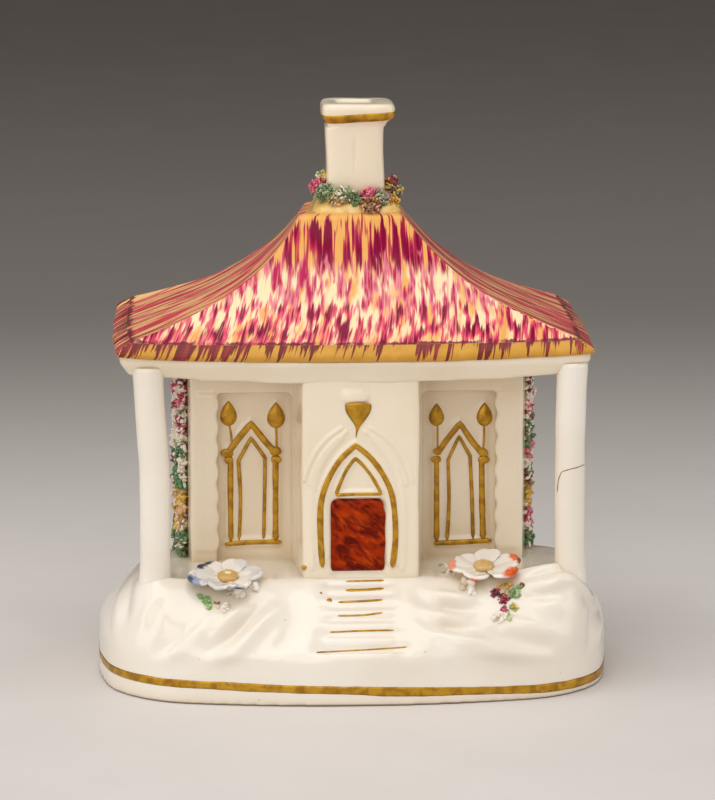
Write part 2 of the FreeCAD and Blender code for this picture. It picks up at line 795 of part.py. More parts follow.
def roof_shell():
    slope = loft([roof_level(share, 0, 0) for share in (RIM_SHARE, 0.8, 0.65, 0.5, 0.35, 0.2, 0.1, 0)])
    shoulder = roof_level(RIM_SHARE, 0, 0)
    edge = size.eave_height
    tuck = size.rim_tuck
    drop = size.rim_height + size.rim_margin
    inset = (1 - RIM_SHARE) * (size.eave_half_width - size.roof_top_half_width)
    rim = loft([rim_level(edge - drop, tuck), rim_level(edge - drop / 2, tuck * 0.4),
                rim_level(edge - drop * 0.15, 0),
                rim_level((edge + shoulder.BoundBox.ZMin) / 2, inset * 0.3), shoulder], True)
    hollow = loft([roof_level(share, size.roof_thickness * 1.2, size.roof_thickness)
                   for share in (1, 0.8, 0.6, 0.4, 0.2, 0.1)])
    low_hollow = Part.Face(roof_level(1, size.roof_thickness * 1.2, size.roof_thickness)).extrude(
        Vector(0, 0, -drop))
    flue = rounded_box((size.chimney_centre_x, size.chimney_centre_y), size.flue_width / 2,
                       size.flue_depth / 2, size.eave_height, size.stack_top, size.flue_corner)
    return rim.fuse(slope).cut(hollow.fuse(low_hollow)).cut(flue)


def slab_form():
    top = number(SLAB_TOP)
    low = number(SLAB_UNDERSIDE) - 3
    high = top + 6
    middle = top - size.slab_thickness / 2
    form = loft([rim_level(low, size.slab_bottom_inset + 1), rim_level(middle - 1, size.slab_bottom_inset),
                 rim_level(top, size.slab_top_inset), rim_level(high, size.slab_top_inset)], True)
    hole_centre = (size.chimney_centre_x, size.chimney_centre_y + size.smoke_hole_setback)
    hole = rounded_box(hole_centre, size.smoke_hole_width / 2, size.smoke_hole_depth / 2, low - 1, high + 1,
                       size.smoke_hole_corner)
    return form.cut(hole)


def make_roof(dish):
    upper = doc.addObject("Part::Sphere", "eave_dish")
    upper.setExpression("Radius", bound("dish_radius"))
    upper.setExpression("Placement.Base.y", bound("roof_centre_y"))
    upper.setExpression("Placement.Base.z", bound(SLAB_TOP + "+dish_radius"))
    upper.Placement.Rotation = Rotation(Vector(1, 0, 0), 90)
    keep(boolean("Common", "roof_thatch", solid_feature("roof_form", roof_shell()), upper), "roof_thatch")
    lower = boolean("Common", "slab_common", solid_feature("slab_form", slab_form()), dish)
    keep(boolean("Cut", "eave_slab", lower, upper), "eave_slab")


# Chimney

def make_chimney():
    centre = (size.chimney_centre_x, size.chimney_centre_y)
    roof_top = size.eave_height + size.roof_slope_rise + size.roof_sweep_rise
    foot_depth = size.stack_half_depth + size.stack_foot_half_width - size.stack_half_width
    body = add_body("chimney_collar")
    outer = box_corners("chimney_centre_x", "chimney_centre_y", "collar_half_width", "collar_half_depth")
    inner = box_corners("chimney_centre_x", "chimney_centre_y", "stack_foot_half_width",
                        "stack_half_depth+stack_foot_half_width-stack_half_width")
    add_pad(body, "chimney_collar", "XY_Plane", "eave_height+roof_slope_rise+roof_sweep_rise",
            [outer, inner], "collar_height")
    fillet = body.newObject("PartDesign::Fillet", "collar_round")
    doc.recompute()
    pad = fillet_base(body)
    names = outer_edges(pad.Shape, size.collar_half_width, centre)
    fillet.Base = (pad, names)
    fillet.setExpression("Radius", bound("collar_height*0.42"))
    body.Tip = fillet
    keep(body)
    levels = [
        (roof_top, size.stack_foot_half_width, foot_depth),
        (roof_top + size.stack_foot_height, size.stack_half_width, size.stack_half_depth),
        (size.stack_top, size.stack_half_width, size.stack_half_depth),
    ]
    bow = 0.12
    outlines = [bowed_outline(width, depth, bow, bow, size.stack_corner, centre, height)
                for height, width, depth in levels]
    first = loft(outlines[:2], True)
    second = loft(outlines[1:], True)
    flue = rounded_box(centre, size.flue_width / 2, size.flue_depth / 2, roof_top - 1,
                       size.stack_top + 1, size.flue_corner)
    keep(solid_feature("chimney_stack", first.fuse(second).cut(flue)), "chimney_stack")
    make_cap()


def box_corners(x, y, half_width, half_depth):
    return [("%s-(%s)" % (x, half_width), "%s-(%s)" % (y, half_depth)),
            ("%s+(%s)" % (x, half_width), "%s-(%s)" % (y, half_depth)),
            ("%s+(%s)" % (x, half_width), "%s+(%s)" % (y, half_depth)),
            ("%s-(%s)" % (x, half_width), "%s+(%s)" % (y, half_depth))]


def fillet_base(body):
    return next(item for item in body.Group if item.TypeId == "PartDesign::Pad")


def outer_edges(shape, reach, centre):
    """The upright edges and the top edges on the outside of a ring."""
    names = []
    for place, edge in enumerate(shape.Edges, start=1):
        middle = edge.BoundBox.Center
        away = max(abs(middle.x - centre[0]) / size.collar_half_width,
                   abs(middle.y - centre[1]) / size.collar_half_depth)
        upright = edge.BoundBox.ZLength > 0.5
        at_top = middle.z > shape.BoundBox.ZMax - 0.01
        if away > 0.97 and (upright or at_top):
            names.append("Edge%d" % place)
    return names


def make_cap():
    body = add_body("chimney_cap")
    outer = box_corners("chimney_centre_x+cap_shift", "chimney_centre_y", "cap_half_width", "cap_half_depth")
    add_pad(body, "chimney_cap", "XY_Plane", "stack_top", [outer], "cap_height")
    doc.recompute()
    pad = fillet_base(body)
    rounded = body.newObject("PartDesign::Fillet", "cap_corners")
    rounded.Base = (pad, edge_names(pad.Shape, lambda box: box.ZLength > 1))
    rounded.setExpression("Radius", bound("cap_corner"))
    body.Tip = rounded
    doc.recompute()
    flare = body.newObject("PartDesign::Chamfer", "cap_cavetto")
    flare.Base = (rounded, edge_names(rounded.Shape, lambda box: box.ZMax < size.stack_top + 0.01))
    flare.setExpression("Size", bound("cap_flare"))
    body.Tip = flare
    doc.recompute()
    lip = body.newObject("PartDesign::Fillet", "cap_lip")
    cap_top = size.stack_top + size.cap_height
    lip.Base = (flare, edge_names(flare.Shape, lambda box: box.ZMin > cap_top - 0.01))
    lip.setExpression("Radius", bound("cap_lip"))
    body.Tip = lip
    flue = box_corners("chimney_centre_x", "chimney_centre_y", "flue_width/2", "flue_depth/2")
    add_pocket(body, "cap_flue", "XY_Plane", "stack_top+cap_height", [flue], "cap_height")
    keep(body)


def edge_names(shape, wanted):
    return ["Edge%d" % place for place, edge in enumerate(shape.Edges, start=1) if wanted(edge.BoundBox)]


# Porch columns

def make_column(side, ground, dish):
    label = side_name(side) + "_column"
    cone = doc.addObject("Part::Cone", label + "_blank")
    cone.setExpression("Radius1", bound("column_foot_radius"))
    cone.setExpression("Radius2", bound("column_head_radius"))
    cone.setExpression("Height", bound(SLAB_TOP + "-floor_height+column_root"))
    spread = "(eave_half_width-column_inset)"
    cone.setExpression("Placement.Base.x", bound("column_centre_x%s%s" % (side_sign(side), spread)))
    cone.setExpression("Placement.Base.y", bound("roof_centre_y-eave_half_depth+column_setback"))
    cone.setExpression("Placement.Base.z", bound("floor_height-column_root"))
    headed = boolean("Cut", label + "_headed", cone, dish)
    keep(boolean("Cut", label, headed, ground), label)


# Applied flowers, moss and garlands

def clump(centre, radius, turn):
    """A rough lump of clay with twenty faces."""
    golden = (1 + math.sqrt(5)) / 2
    points = []
    for first in (-1, 1):
        for second in (-golden, golden):
            points += [Vector(0, first, second), Vector(first, second, 0), Vector(second, 0, first)]
    scale = radius / math.sqrt(1 + golden ** 2)
    spin = Rotation(Vector(1, 2, 3), turn)
    points = [spin.multVec(point * scale) + Vector(*centre) for point in points]
    reach = 2.01 * scale
    faces = []
    for a in range(12):
        for b in range(a + 1, 12):
            for c in range(b + 1, 12):
                trio = [points[a], points[b], points[c]]
                if all((trio[k] - trio[k - 1]).Length < reach for k in range(3)):
                    faces.append(Part.Face(Part.makePolygon(trio + [trio[0]])))
    return Part.Solid(Part.makeShell(faces))


def fused_clumps(places, radius):
    lumps = [clump(place, radius * swell, CLUMP_TURN * count) for count, (place, swell) in enumerate(places)]
    mass = lumps[0]
    for lump in lumps[1:]:
        mass = mass.fuse(lump)
    return mass


def petal_outline(reach):
    """Round lobes between notches, one arc to each petal."""
    step = 2 * math.pi / PETAL_COUNT
    arcs = []
    for petal in range(PETAL_COUNT):
        angle = petal * step

        def at(radius, turn):
            return Vector(radius * math.cos(turn), radius * math.sin(turn), -2)

        arcs.append(Part.Arc(at(size.flower_notch_radius, angle - step / 2), at(reach, angle),
                             at(size.flower_notch_radius, angle + step / 2)).toShape())
    return Part.Face(Part.Wire(arcs)).extrude(Vector(0, 0, size.flower_cup + size.flower_thickness + 4))


def flower_parts(centre, turn):
    """A cupped flower with rounded petals and a domed eye, tilted to the front."""
    rim = size.flower_radius + 1
    eye = size.flower_eye_radius
    thick = size.flower_thickness
    cup = size.flower_cup
    profile = [Vector(0, 0, 0), Vector(eye, 0, 0), Vector(rim, 0, cup), Vector(rim, 0, cup + thick * 0.8),
               Vector(eye, 0, thick), Vector(0, 0, thick)]
    dish = Part.Face(Part.makePolygon(profile + [profile[0]])).revolve(Vector(0, 0, 0), Vector(0, 0, 1), 360)
    petals = dish.common(petal_outline(size.flower_radius))
    dome = Part.makeSphere(eye * 1.3)
    dome.translate(Vector(0, 0, -eye * 0.55))
    dome = dome.common(Part.makeCylinder(eye * 1.05, eye))
    dome.translate(Vector(0, 0, thick))
    dome = dome.cut(petals)
    seat = Placement(Vector(*centre), Rotation(Vector(1, 0, 0), size.flower_tilt).multiply(
        Rotation(Vector(0, 0, 1), turn)))
    petals.Placement = seat
    dome.Placement = seat
    return petals, dome


def slope_height(depth):
    """Height of the mound's front slope at a depth."""
    share = (depth + size.base_depth / 2) / size.front_shoulder
    if share >= 1:
        return size.floor_height
    level = (1 - (1 - max(share, 0)) ** FRONT_FULLNESS) ** (1 / FRONT_FULLNESS)
    return size.foot_height + (size.floor_height - size.foot_height) * level


def moss_spots(centre, rows, first, across, drift):
    """Rows of lumps down the slope from under a flower. Drift shifts each row sideways."""
    spots = []
    for row in range(rows):
        depth = centre[1] - size.moss_setback - row * size.moss_row_pitch
        for place in range(across):
            x = centre[0] + first + place * size.moss_pitch + row * drift
            swell = 1 + 0.08 * math.cos(2.3 * place + row)
            spots.append(((x, depth, slope_height(depth) + size.moss_radius / 4), swell))
    return spots


def make_flower(side, ground):
    name = side_name(side)
    front = -size.base_depth / 2
    if side < 0:
        centre = (size.left_flower_x, front + size.left_flower_setback, size.floor_height)
        petals, dome = flower_parts(centre, size.left_flower_turn)
        spots = moss_spots(centre, 2, -1.8 * size.moss_pitch, 4, -0.4)
    else:
        centre = (size.right_flower_x, front + size.right_flower_setback,
                  size.floor_height + size.right_flower_lift)
        petals, dome = flower_parts(centre, size.right_flower_turn)
        spots = moss_spots(centre, 4, 0, 3, 0.6)
    flower = solid_feature(name + "_flower_form", petals)
    keep(boolean("Cut", name + "_flower", flower, ground), name + "_flower")
    keep(solid_feature(name + "_flower_eye", dome), name + "_flower_eye")
    moss = solid_feature(name + "_moss_form", fused_clumps(spots, size.moss_radius))
    laid = boolean("Cut", name + "_moss_laid", moss, ground)
    keep(boolean("Cut", name + "_moss", laid, flower), name + "_moss")


def make_garland(side, blank):
    """A string of clay moss down the side wall."""
    label = side_name(side) + "_garland"
    depth = size.garland_back
    wall_x = number(flank_x(str(depth)))
    low = size.floor_height + size.garland_foot_gap
    high = number(SLAB_UNDERSIDE) - size.garland_head_gap
    spots = []
    for place in range(GARLAND_COUNT):
        share = place / (GARLAND_COUNT - 1)
        outward = 0.7 + 0.35 * math.sin(place * 2.1)
        x = wall_x + outward
        if side < 0:
            x = 2 * size.house_centre_x - x
        swell = 0.9 + 0.16 * math.cos(place * 1.7)
        spots.append(((x, depth + 0.8 * math.sin(place * 1.3), low + share * (high - low)), swell))
    moss = solid_feature(label + "_form", fused_clumps(spots, size.garland_radius))
    keep(boolean("Cut", label, moss, blank), label)


def make_chimney_garland():
    """A wreath of clay moss round the foot of the chimney."""
    roof_top = size.eave_height + size.roof_slope_rise + size.roof_sweep_rise
    lift = roof_top + size.collar_height
    clear = size.garland_radius / 2
    half_width = size.stack_foot_half_width + clear
    half_depth = size.stack_half_depth + size.stack_foot_half_width - size.stack_half_width + clear
    spots = []
    for place in range(WREATH_COUNT):
        angle = 2 * math.pi * place / WREATH_COUNT
        x = size.chimney_centre_x + half_width * math.cos(angle)
        y = size.chimney_centre_y + half_depth * math.sin(angle)
        tuft = abs(math.cos(angle)) ** 6
        spots.append(((x, y, lift + 0.3 + 1.4 * tuft), 0.95 + 0.3 * tuft + 0.08 * math.cos(place * 1.9)))
    return solid_feature("wreath_form", fused_clumps(spots, size.garland_radius))


def make_pastille():
    pastille = doc.addObject("Part::Cone", "pastille")
    pastille.setExpression("Radius1", bound("pastille_radius"))
    pastille.setExpression("Radius2", bound("pastille_tip_radius"))
    pastille.setExpression("Height", bound("pastille_height"))
    pastille.setExpression("Placement.Base.x", bound("house_centre_x"))
    pastille.setExpression("Placement.Base.y", bound("pastille_y"))
    pastille.setExpression("Placement.Base.z", bound("floor_height+pastille_clearance"))
    keep(pastille, "pastille")


def write_nodes():
    doc.recompute()
    for item in doc.Objects:
        if {"Invalid", "Error"} & set(item.State):
            raise RuntimeError("%s did not rebuild: %s" % (item.Label, item.State))
    for item in nodes:
        if item.Shape.isNull() or not item.Shape.isValid() or not item.Shape.Solids:
            raise RuntimeError("%s has no valid solid" % item.Label)
    os.makedirs("parts", exist_ok=True)
    for item in nodes:
        item.Shape.exportStep("parts/%s.step" % item.Label)
        print("%-24s %d solid(s) %9.1f mm3" % (item.Label, len(item.Shape.Solids), item.Shape.Volume))


def main():
    ground = make_base()
    dish = make_dish()
    make_porch_wall(dish)
    for side in (-1, 1):
        make_bay_wall(side, dish)
        make_flank_wall(side, dish)
        make_quoins(side)
        make_window(side)
        make_column(side, ground, dish)
    make_rear_wall(dish)
    make_doorway()
    make_hood()
    make_bell()
    make_roof(dish)
    make_chimney()
    for side in (-1, 1):
        make_flower(side, ground)
        wall = doc.getObject(side_name(side) + "_side_wall")
        make_garland(side, wall)
    wreath = make_chimney_garland()
    bare = boolean("Cut", "wreath_round_stack", wreath, doc.getObject("chimney_stack"))
    bare = boolean("Cut", "wreath_on_collar", bare, doc.getObject("chimney_collar"))
    keep(boolean("Cut", "chimney_garland", bare, doc.getObject("roof_thatch")), "chimney_garland")
    make_pastille()
    write_nodes()


main()
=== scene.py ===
import math
import random

import bmesh
import bpy
import numpy as np
from mathutils import Matrix, Vector, noise
from mathutils.bvhtree import BVHTree


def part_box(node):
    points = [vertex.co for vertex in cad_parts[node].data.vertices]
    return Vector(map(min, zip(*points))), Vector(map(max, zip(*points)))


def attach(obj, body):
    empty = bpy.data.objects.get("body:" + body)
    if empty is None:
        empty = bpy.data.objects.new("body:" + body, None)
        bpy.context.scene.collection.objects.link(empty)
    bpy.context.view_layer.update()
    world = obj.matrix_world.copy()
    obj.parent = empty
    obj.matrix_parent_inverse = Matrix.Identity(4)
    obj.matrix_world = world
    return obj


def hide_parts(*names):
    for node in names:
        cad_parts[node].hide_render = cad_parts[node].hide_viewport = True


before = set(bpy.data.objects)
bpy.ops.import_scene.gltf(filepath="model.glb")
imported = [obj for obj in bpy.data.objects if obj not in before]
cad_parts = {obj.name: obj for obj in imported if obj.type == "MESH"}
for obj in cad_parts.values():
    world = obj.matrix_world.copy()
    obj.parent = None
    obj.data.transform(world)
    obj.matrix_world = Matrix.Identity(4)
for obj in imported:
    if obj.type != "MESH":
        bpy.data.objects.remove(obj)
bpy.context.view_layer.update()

# Shapes are worked out in millimetres and scaled once, when a mesh is made.
MM = 0.001

# The photograph's camera. Its picture is 715 by 800 pixels.
PHOTO_WIDTH = 715
PHOTO_HEIGHT = 800
CAMERA_PLACE = Vector((-52.48, -1078.44, 270.98))
CAMERA_TARGET = Vector((1.415, 0.0, 61.094))
CAMERA_LENS = 220.25
SENSOR = 36.0
PIXELS_PER_MM = 4.45


def corners_mm(node):
    low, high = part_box(node)
    return low / MM, high / MM


def smoothstep(low, high, value):
    share = np.clip((value - low) / (high - low), 0.0, 1.0)
    return share * share * (3 - 2 * share)


# Meshes

def finish_piece(piece, material, replaces=(), body="root"):
    piece.data.materials.clear()
    piece.data.materials.append(material)
    for polygon in piece.data.polygons:
        polygon.use_smooth = True
    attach(piece, body)
    if replaces:
        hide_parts(*replaces)
    return piece


def new_object(name, vertices, faces):
    """A mesh object from points in millimetres."""
    mesh = bpy.data.meshes.new(name)
    mesh.from_pydata([tuple(MM * c for c in point) for point in vertices], [], faces)
    mesh.update()
    piece = bpy.data.objects.new(name, mesh)
    bpy.context.scene.collection.objects.link(piece)
    return piece


def tidy_normals(piece):
    bm = bmesh.new()
    bm.from_mesh(piece.data)
    bmesh.ops.recalc_face_normals(bm, faces=bm.faces)
    bm.to_mesh(piece.data)
    bm.free()


def ring_faces(size, count, closed=False):
    """Faces between rings of points that follow each other, the last joined to the first if closed."""
    faces = []
    for place in range(count if closed else count - 1):
        first, following = place * size, (place + 1) % count * size
        for step in range(size):
            after = (step + 1) % size
            faces.append((first + step, first + after, following + after, following + step))
    return faces


def gild(name, form, replaces=()):
    """A piece of gilding from points and faces."""
    piece = new_object(name, *form)
    tidy_normals(piece)
    finish_piece(piece, GOLD, replaces)


def joined_copy(name, nodes):
    """One object with copies of the meshes of several CAD nodes."""
    bm = bmesh.new()
    for node in nodes:
        bm.from_mesh(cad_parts[node].data)
    mesh = bpy.data.meshes.new(name)
    bm.to_mesh(mesh)
    bm.free()
    piece = bpy.data.objects.new(name, mesh)
    bpy.context.scene.collection.objects.link(piece)
    return piece


def add_to(piece, vertices, faces):
    """Add a closed form, in millimetres, to an object's mesh."""
    bm = bmesh.new()
    bm.from_mesh(piece.data)
    made = [bm.verts.new([MM * c for c in point]) for point in vertices]
    for face in faces:
        bm.faces.new([made[index] for index in face])
    bm.to_mesh(piece.data)
    bm.free()


def bake_modifiers(piece):
    graph = bpy.context.evaluated_depsgraph_get()
    mesh = bpy.data.meshes.new_from_object(piece.evaluated_get(graph))
    piece.modifiers.clear()
    piece.data = mesh


def round_off(piece, levels=1):
    subdivide = piece.modifiers.new("round", "SUBSURF")
    subdivide.levels = levels
    subdivide.render_levels = levels
    bake_modifiers(piece)


def melt_together(piece, voxel, rounds, keep=1.0):
    """Fuse what an object holds into one skin with the soft edges that glaze gives."""
    remesh = piece.modifiers.new("skin", "REMESH")
    remesh.mode = "VOXEL"
    remesh.voxel_size = voxel * MM
    remesh.adaptivity = 0
    smooth = piece.modifiers.new("soften", "SMOOTH")
    smooth.factor = 0.5
    smooth.iterations = rounds
    if keep < 1:
        thin = piece.modifiers.new("thin", "DECIMATE")
        thin.ratio = keep
    bake_modifiers(piece)


def get_points(piece):
    flat = np.zeros(len(piece.data.vertices) * 3, np.float32)
    piece.data.vertices.foreach_get("co", flat)
    return flat.reshape(-1, 3).astype(float) / MM


def set_points(piece, points):
    piece.data.vertices.foreach_set("co", (points * MM).astype(np.float32).ravel())
    piece.data.update()


def get_normals(piece):
    flat = np.zeros(len(piece.data.vertices) * 3, np.float32)
    piece.data.vertex_normals.foreach_get("vector", flat)
    return flat.reshape(-1, 3).astype(float)


def paint(piece, colours):
    """Keep a colour for each point, which the materials read as "paint"."""
    layer = piece.data.attributes.new("paint", "FLOAT_COLOR", "POINT")
    flat = np.ones((len(piece.data.vertices), 4), np.float32)
    flat[:, :3] = colours
    layer.data.foreach_set("color", flat.ravel())


def tree_of(piece):
    points = [Vector(point) for point in get_points(piece)]
    return BVHTree.FromPolygons(points, [tuple(p.vertices) for p in piece.data.polygons])


def wander(value, seed, scale):
    """Slow, repeatable wandering between -1 and 1."""
    return noise.noise(Vector((value * scale, seed * 7.31, seed * 1.73)))


# The photograph's view

def camera_axes():
    back = (CAMERA_PLACE - CAMERA_TARGET).normalized()
    right = Vector((0, 0, 1)).cross(back).normalized()
    return right, back.cross(right), back


def pixel_ray(u, v):
    right, up, back = camera_axes()
    focal = CAMERA_LENS / SENSOR * PHOTO_HEIGHT
    return (right * (u - PHOTO_WIDTH / 2) - up * (v - PHOTO_HEIGHT / 2) - back * focal).normalized()


def on_plane(u, v, y):
    """The point of the plane Y = y that a pixel of the photograph shows."""
    ray = pixel_ray(u, v)
    return CAMERA_PLACE + ray * ((y - CAMERA_PLACE.y) / ray.y)


def on_surface(u, v, tree):
    """The point and normal of a surface that a pixel of the photograph shows."""
    point, normal, _, _ = tree.ray_cast(CAMERA_PLACE, pixel_ray(u, v))
    if point is None:
        raise ValueError("no surface at pixel %s, %s" % (u, v))
    return point, normal


def near_surface(u, v, tree):
    """The same point, or the surface's nearest one to a pixel just past its outline."""
    ray = pixel_ray(u, v)
    point = tree.ray_cast(CAMERA_PLACE, ray)[0]
    if point is None:
        beside = on_plane(u, v, (CAMERA_PLACE + ray * (CAMERA_PLACE - CAMERA_TARGET).length).y)
        point = tree.find_nearest(beside)[0]
    return point


def make_camera():
    data = bpy.data.cameras.new("photo_camera")
    data.lens = CAMERA_LENS
    data.sensor_width = SENSOR
    data.clip_start = 0.05
    data.clip_end = 20
    camera = bpy.data.objects.new("photo_camera", data)
    bpy.context.scene.collection.objects.link(camera)
    right, up, back = camera_axes()
    turn = Matrix((right, up, back)).transposed()
    camera.matrix_world = Matrix.Translation(CAMERA_PLACE * MM) @ turn.to_4x4()
    bpy.context.scene.camera = camera


# Materials

class Shader:
    """A material's node tree, with short calls for the nodes used here."""

    def __init__(self, name, roughness, coat=0.0, metallic=0.0):
        self.material = bpy.data.materials.new(name)
        self.material.use_nodes = True
        self.tree = self.material.node_tree
        self.surface = self.tree.nodes["Principled BSDF"]
        self.surface.inputs["Roughness"].default_value = roughness
        self.surface.inputs["Coat Weight"].default_value = coat
        self.surface.inputs["Coat Roughness"].default_value = 0.05
        self.surface.inputs["Metallic"].default_value = metallic

    def node(self, kind, **settings):
        made = self.tree.nodes.new(kind)
        for name, value in settings.items():
            setattr(made, name, value)
        return made

    def put(self, socket, value):
        if isinstance(value, bpy.types.NodeSocket):
            self.tree.links.new(value, socket)
        else:
            socket.default_value = value

    def maths(self, operation, first, second=0.0, clamp=False):
        made = self.node("ShaderNodeMath", operation=operation, use_clamp=clamp)
        self.put(made.inputs[0], first)
        self.put(made.inputs[1], second)
        return made.outputs[0]

    def rise(self, value, low, high, to_low=0.0, to_high=1.0):
        made = self.node("ShaderNodeMapRange", interpolation_type="SMOOTHSTEP")
        for place, number in enumerate((value, low, high, to_low, to_high)):
            self.put(made.inputs[place], number)
        return made.outputs[0]

    def mix(self, share, first, second, blend="MIX"):
        made = self.node("ShaderNodeMix", data_type="RGBA", blend_type=blend)
        self.put(made.inputs[0], share)
        for socket, value in ((made.inputs[6], first), (made.inputs[7], second)):
            self.put(socket, value if isinstance(value, bpy.types.NodeSocket) else (*value, 1.0))
        return made.outputs[2]

    def place(self):
        return self.node("ShaderNodeTexCoord").outputs["Object"]

    def stretched(self, vector, scale):
        made = self.node("ShaderNodeVectorMath", operation="MULTIPLY")
        self.put(made.inputs[0], vector)
        made.inputs[1].default_value = scale
        return made.outputs[0]

    def noise(self, vector, scale, detail=3.0, distortion=0.0):
        made = self.node("ShaderNodeTexNoise")
        self.put(made.inputs["Vector"], vector)
        made.inputs["Scale"].default_value = scale
        made.inputs["Detail"].default_value = detail
        made.inputs["Distortion"].default_value = distortion
        return made.outputs["Fac"]

    def attribute(self, name):
        return self.node("ShaderNodeAttribute", attribute_name=name)

    def bump(self, height, strength, distance):
        made = self.node("ShaderNodeBump")
        made.inputs["Strength"].default_value = strength
        made.inputs["Distance"].default_value = distance
        self.put(made.inputs["Height"], height)
        self.put(self.surface.inputs["Normal"], made.outputs["Normal"])

    def colour(self, value):
        self.put(self.surface.inputs["Base Color"], value)


def glaze_specks(shader, place):
    """The few dark pinholes that a kiln leaves in white glaze."""
    cells = shader.node("ShaderNodeTexVoronoi")
    shader.put(cells.inputs["Vector"], place)
    cells.inputs["Scale"].default_value = 110
    dot = shader.rise(cells.outputs["Distance"], 0.028, 0.045, 1.0, 0.0)
    parts = shader.node("ShaderNodeSeparateColor")
    shader.put(parts.inputs[0], cells.outputs["Color"])
    return shader.maths("MULTIPLY", dot, shader.maths("GREATER_THAN", parts.outputs[0], 0.9))


def white_glaze(name, thin, thick, pool_and_shade_colour):
    """Lead glaze over white clay: creamier where it is thick, and brown-grey in hollows, where glaze pools
    and where shade is painted in.
    """
    shader = Shader(name, 0.13, coat=0.2)
    place = shader.place()
    clouds = shader.noise(place, 38, 2)
    colour = shader.mix(shader.rise(clouds, 0.35, 0.68), thin, thick)
    # Darker, browner colour in creases and recesses: partly pooled glaze, partly painted shade.
    hollow_occlusion = shader.node("ShaderNodeAmbientOcclusion", samples=8)
    hollow_occlusion.inputs["Distance"].default_value = 0.006
    pool_and_shade = shader.rise(hollow_occlusion.outputs["AO"], 0.28, 0.88, 0.72, 0.0)
    colour = shader.mix(pool_and_shade, colour, pool_and_shade_colour)
    colour = shader.mix(glaze_specks(shader, place), colour, (0.10, 0.07, 0.045))
    # A brown line along the bottom 0.9 mm of the glaze, ragged with the clouds.
    parts = shader.node("ShaderNodeSeparateXYZ")
    shader.put(parts.inputs[0], place)
    near_floor = shader.maths("ADD", parts.outputs[2], shader.maths("MULTIPLY", clouds, 0.0006))
    colour = shader.mix(shader.rise(near_floor, 0.0005, 0.0009, 0.85, 0.0), colour, (0.16, 0.105, 0.065))
    shader.colour(colour)
    shader.bump(shader.noise(place, 260, 2), 0.06, 0.001)
    shader.surface.inputs["Subsurface Weight"].default_value = 0.12
    shader.surface.inputs["Subsurface Radius"].default_value = (1.0, 0.75, 0.5)
    shader.surface.inputs["Subsurface Scale"].default_value = 0.0015
    return shader.material


def gilding():
    """Honey gold, brushed on: olive-brown where it is thick, light where it is thin."""
    shader = Shader("gilding", 0.36, metallic=0.6)
    place = shader.place()
    thick = shader.noise(place, 420, 4, 0.4)
    colour = shader.mix(shader.rise(thick, 0.38, 0.66), (0.56, 0.30, 0.020), (0.33, 0.155, 0.006))
    worn = shader.noise(place, 1600, 3)
    colour = shader.mix(shader.rise(worn, 0.60, 0.80, 0.0, 0.5), colour, (0.66, 0.41, 0.09))
    shader.colour(colour)
    shader.bump(worn, 0.12, 0.0004)
    return shader.material


def ochre_enamel():
    shader = Shader("ochre_enamel", 0.2, coat=0.3)
    place = shader.place()
    colour = shader.mix(shader.rise(shader.noise(place, 190, 3, 0.5), 0.3, 0.7), (0.90, 0.64, 0.28),
                        (0.72, 0.43, 0.09))
    shader.colour(colour)
    shader.bump(shader.noise(place, 900, 2), 0.1, 0.0004)
    return shader.material


def door_enamel():
    """Iron-red enamel wiped on in slanting strokes, thicker and darker at the edges."""
    shader = Shader("door_enamel", 0.14)
    shader.surface.inputs["Specular IOR Level"].default_value = 0.08
    low, _ = corners_mm("door_panel")
    place = shader.place()
    parts = shader.node("ShaderNodeSeparateXYZ")
    shader.put(parts.inputs[0], place)
    x, _, z = parts.outputs
    left = shader.rise(x, (low.x + 0.6) * MM, (low.x + 2.6) * MM, 1.0, 0.0)
    foot = shader.rise(z, (low.z + 0.5) * MM, (low.z + 2.2) * MM, 1.0, 0.0)
    edge = shader.maths("MAXIMUM", left, foot)
    slant = shader.node("ShaderNodeCombineXYZ")
    along = shader.maths("SUBTRACT", shader.maths("MULTIPLY", x, 0.8), shader.maths("MULTIPLY", z, 0.6))
    across = shader.maths("ADD", shader.maths("MULTIPLY", x, 0.6), shader.maths("MULTIPLY", z, 0.8))
    shader.put(slant.inputs[0], shader.maths("MULTIPLY", along, 230.0))
    shader.put(slant.inputs[1], shader.maths("MULTIPLY", across, 420.0))
    wiped = shader.noise(slant.outputs[0], 1.0, 4, 1.1)
    dark = shader.maths("SUBTRACT", wiped, shader.maths("MULTIPLY", edge, 0.07))
    colour = shader.mix(shader.rise(dark, 0.32, 0.62), (0.115, 0.005, 0.001), (0.36, 0.026, 0.001))
    streak = shader.noise(shader.stretched(slant.outputs[0], (1.0, 1.7, 1.0)), 1.3, 3, 0.8)
    colour = shader.mix(shader.rise(streak, 0.50, 0.76, 0.0, 0.75), colour, (0.56, 0.075, 0.003))
    shader.colour(colour)
    shader.bump(wiped, 0.06, 0.0004)
    return shader.material


def streaks(shader, across, down, pace, seed, detail=3, skew=0.0):
    """Noise drawn out down the slope. Pace is how fast it changes across and down, per millimetre."""
    place = shader.node("ShaderNodeCombineXYZ")
    leaning = shader.maths("ADD", across, shader.maths("MULTIPLY", down, skew))
    shader.put(place.inputs[0], shader.maths("MULTIPLY", leaning, pace[0]))
    shader.put(place.inputs[1], shader.maths("MULTIPLY", down, pace[1]))
    place.inputs[2].default_value = seed
    return shader.noise(place.outputs[0], 1.0, detail)


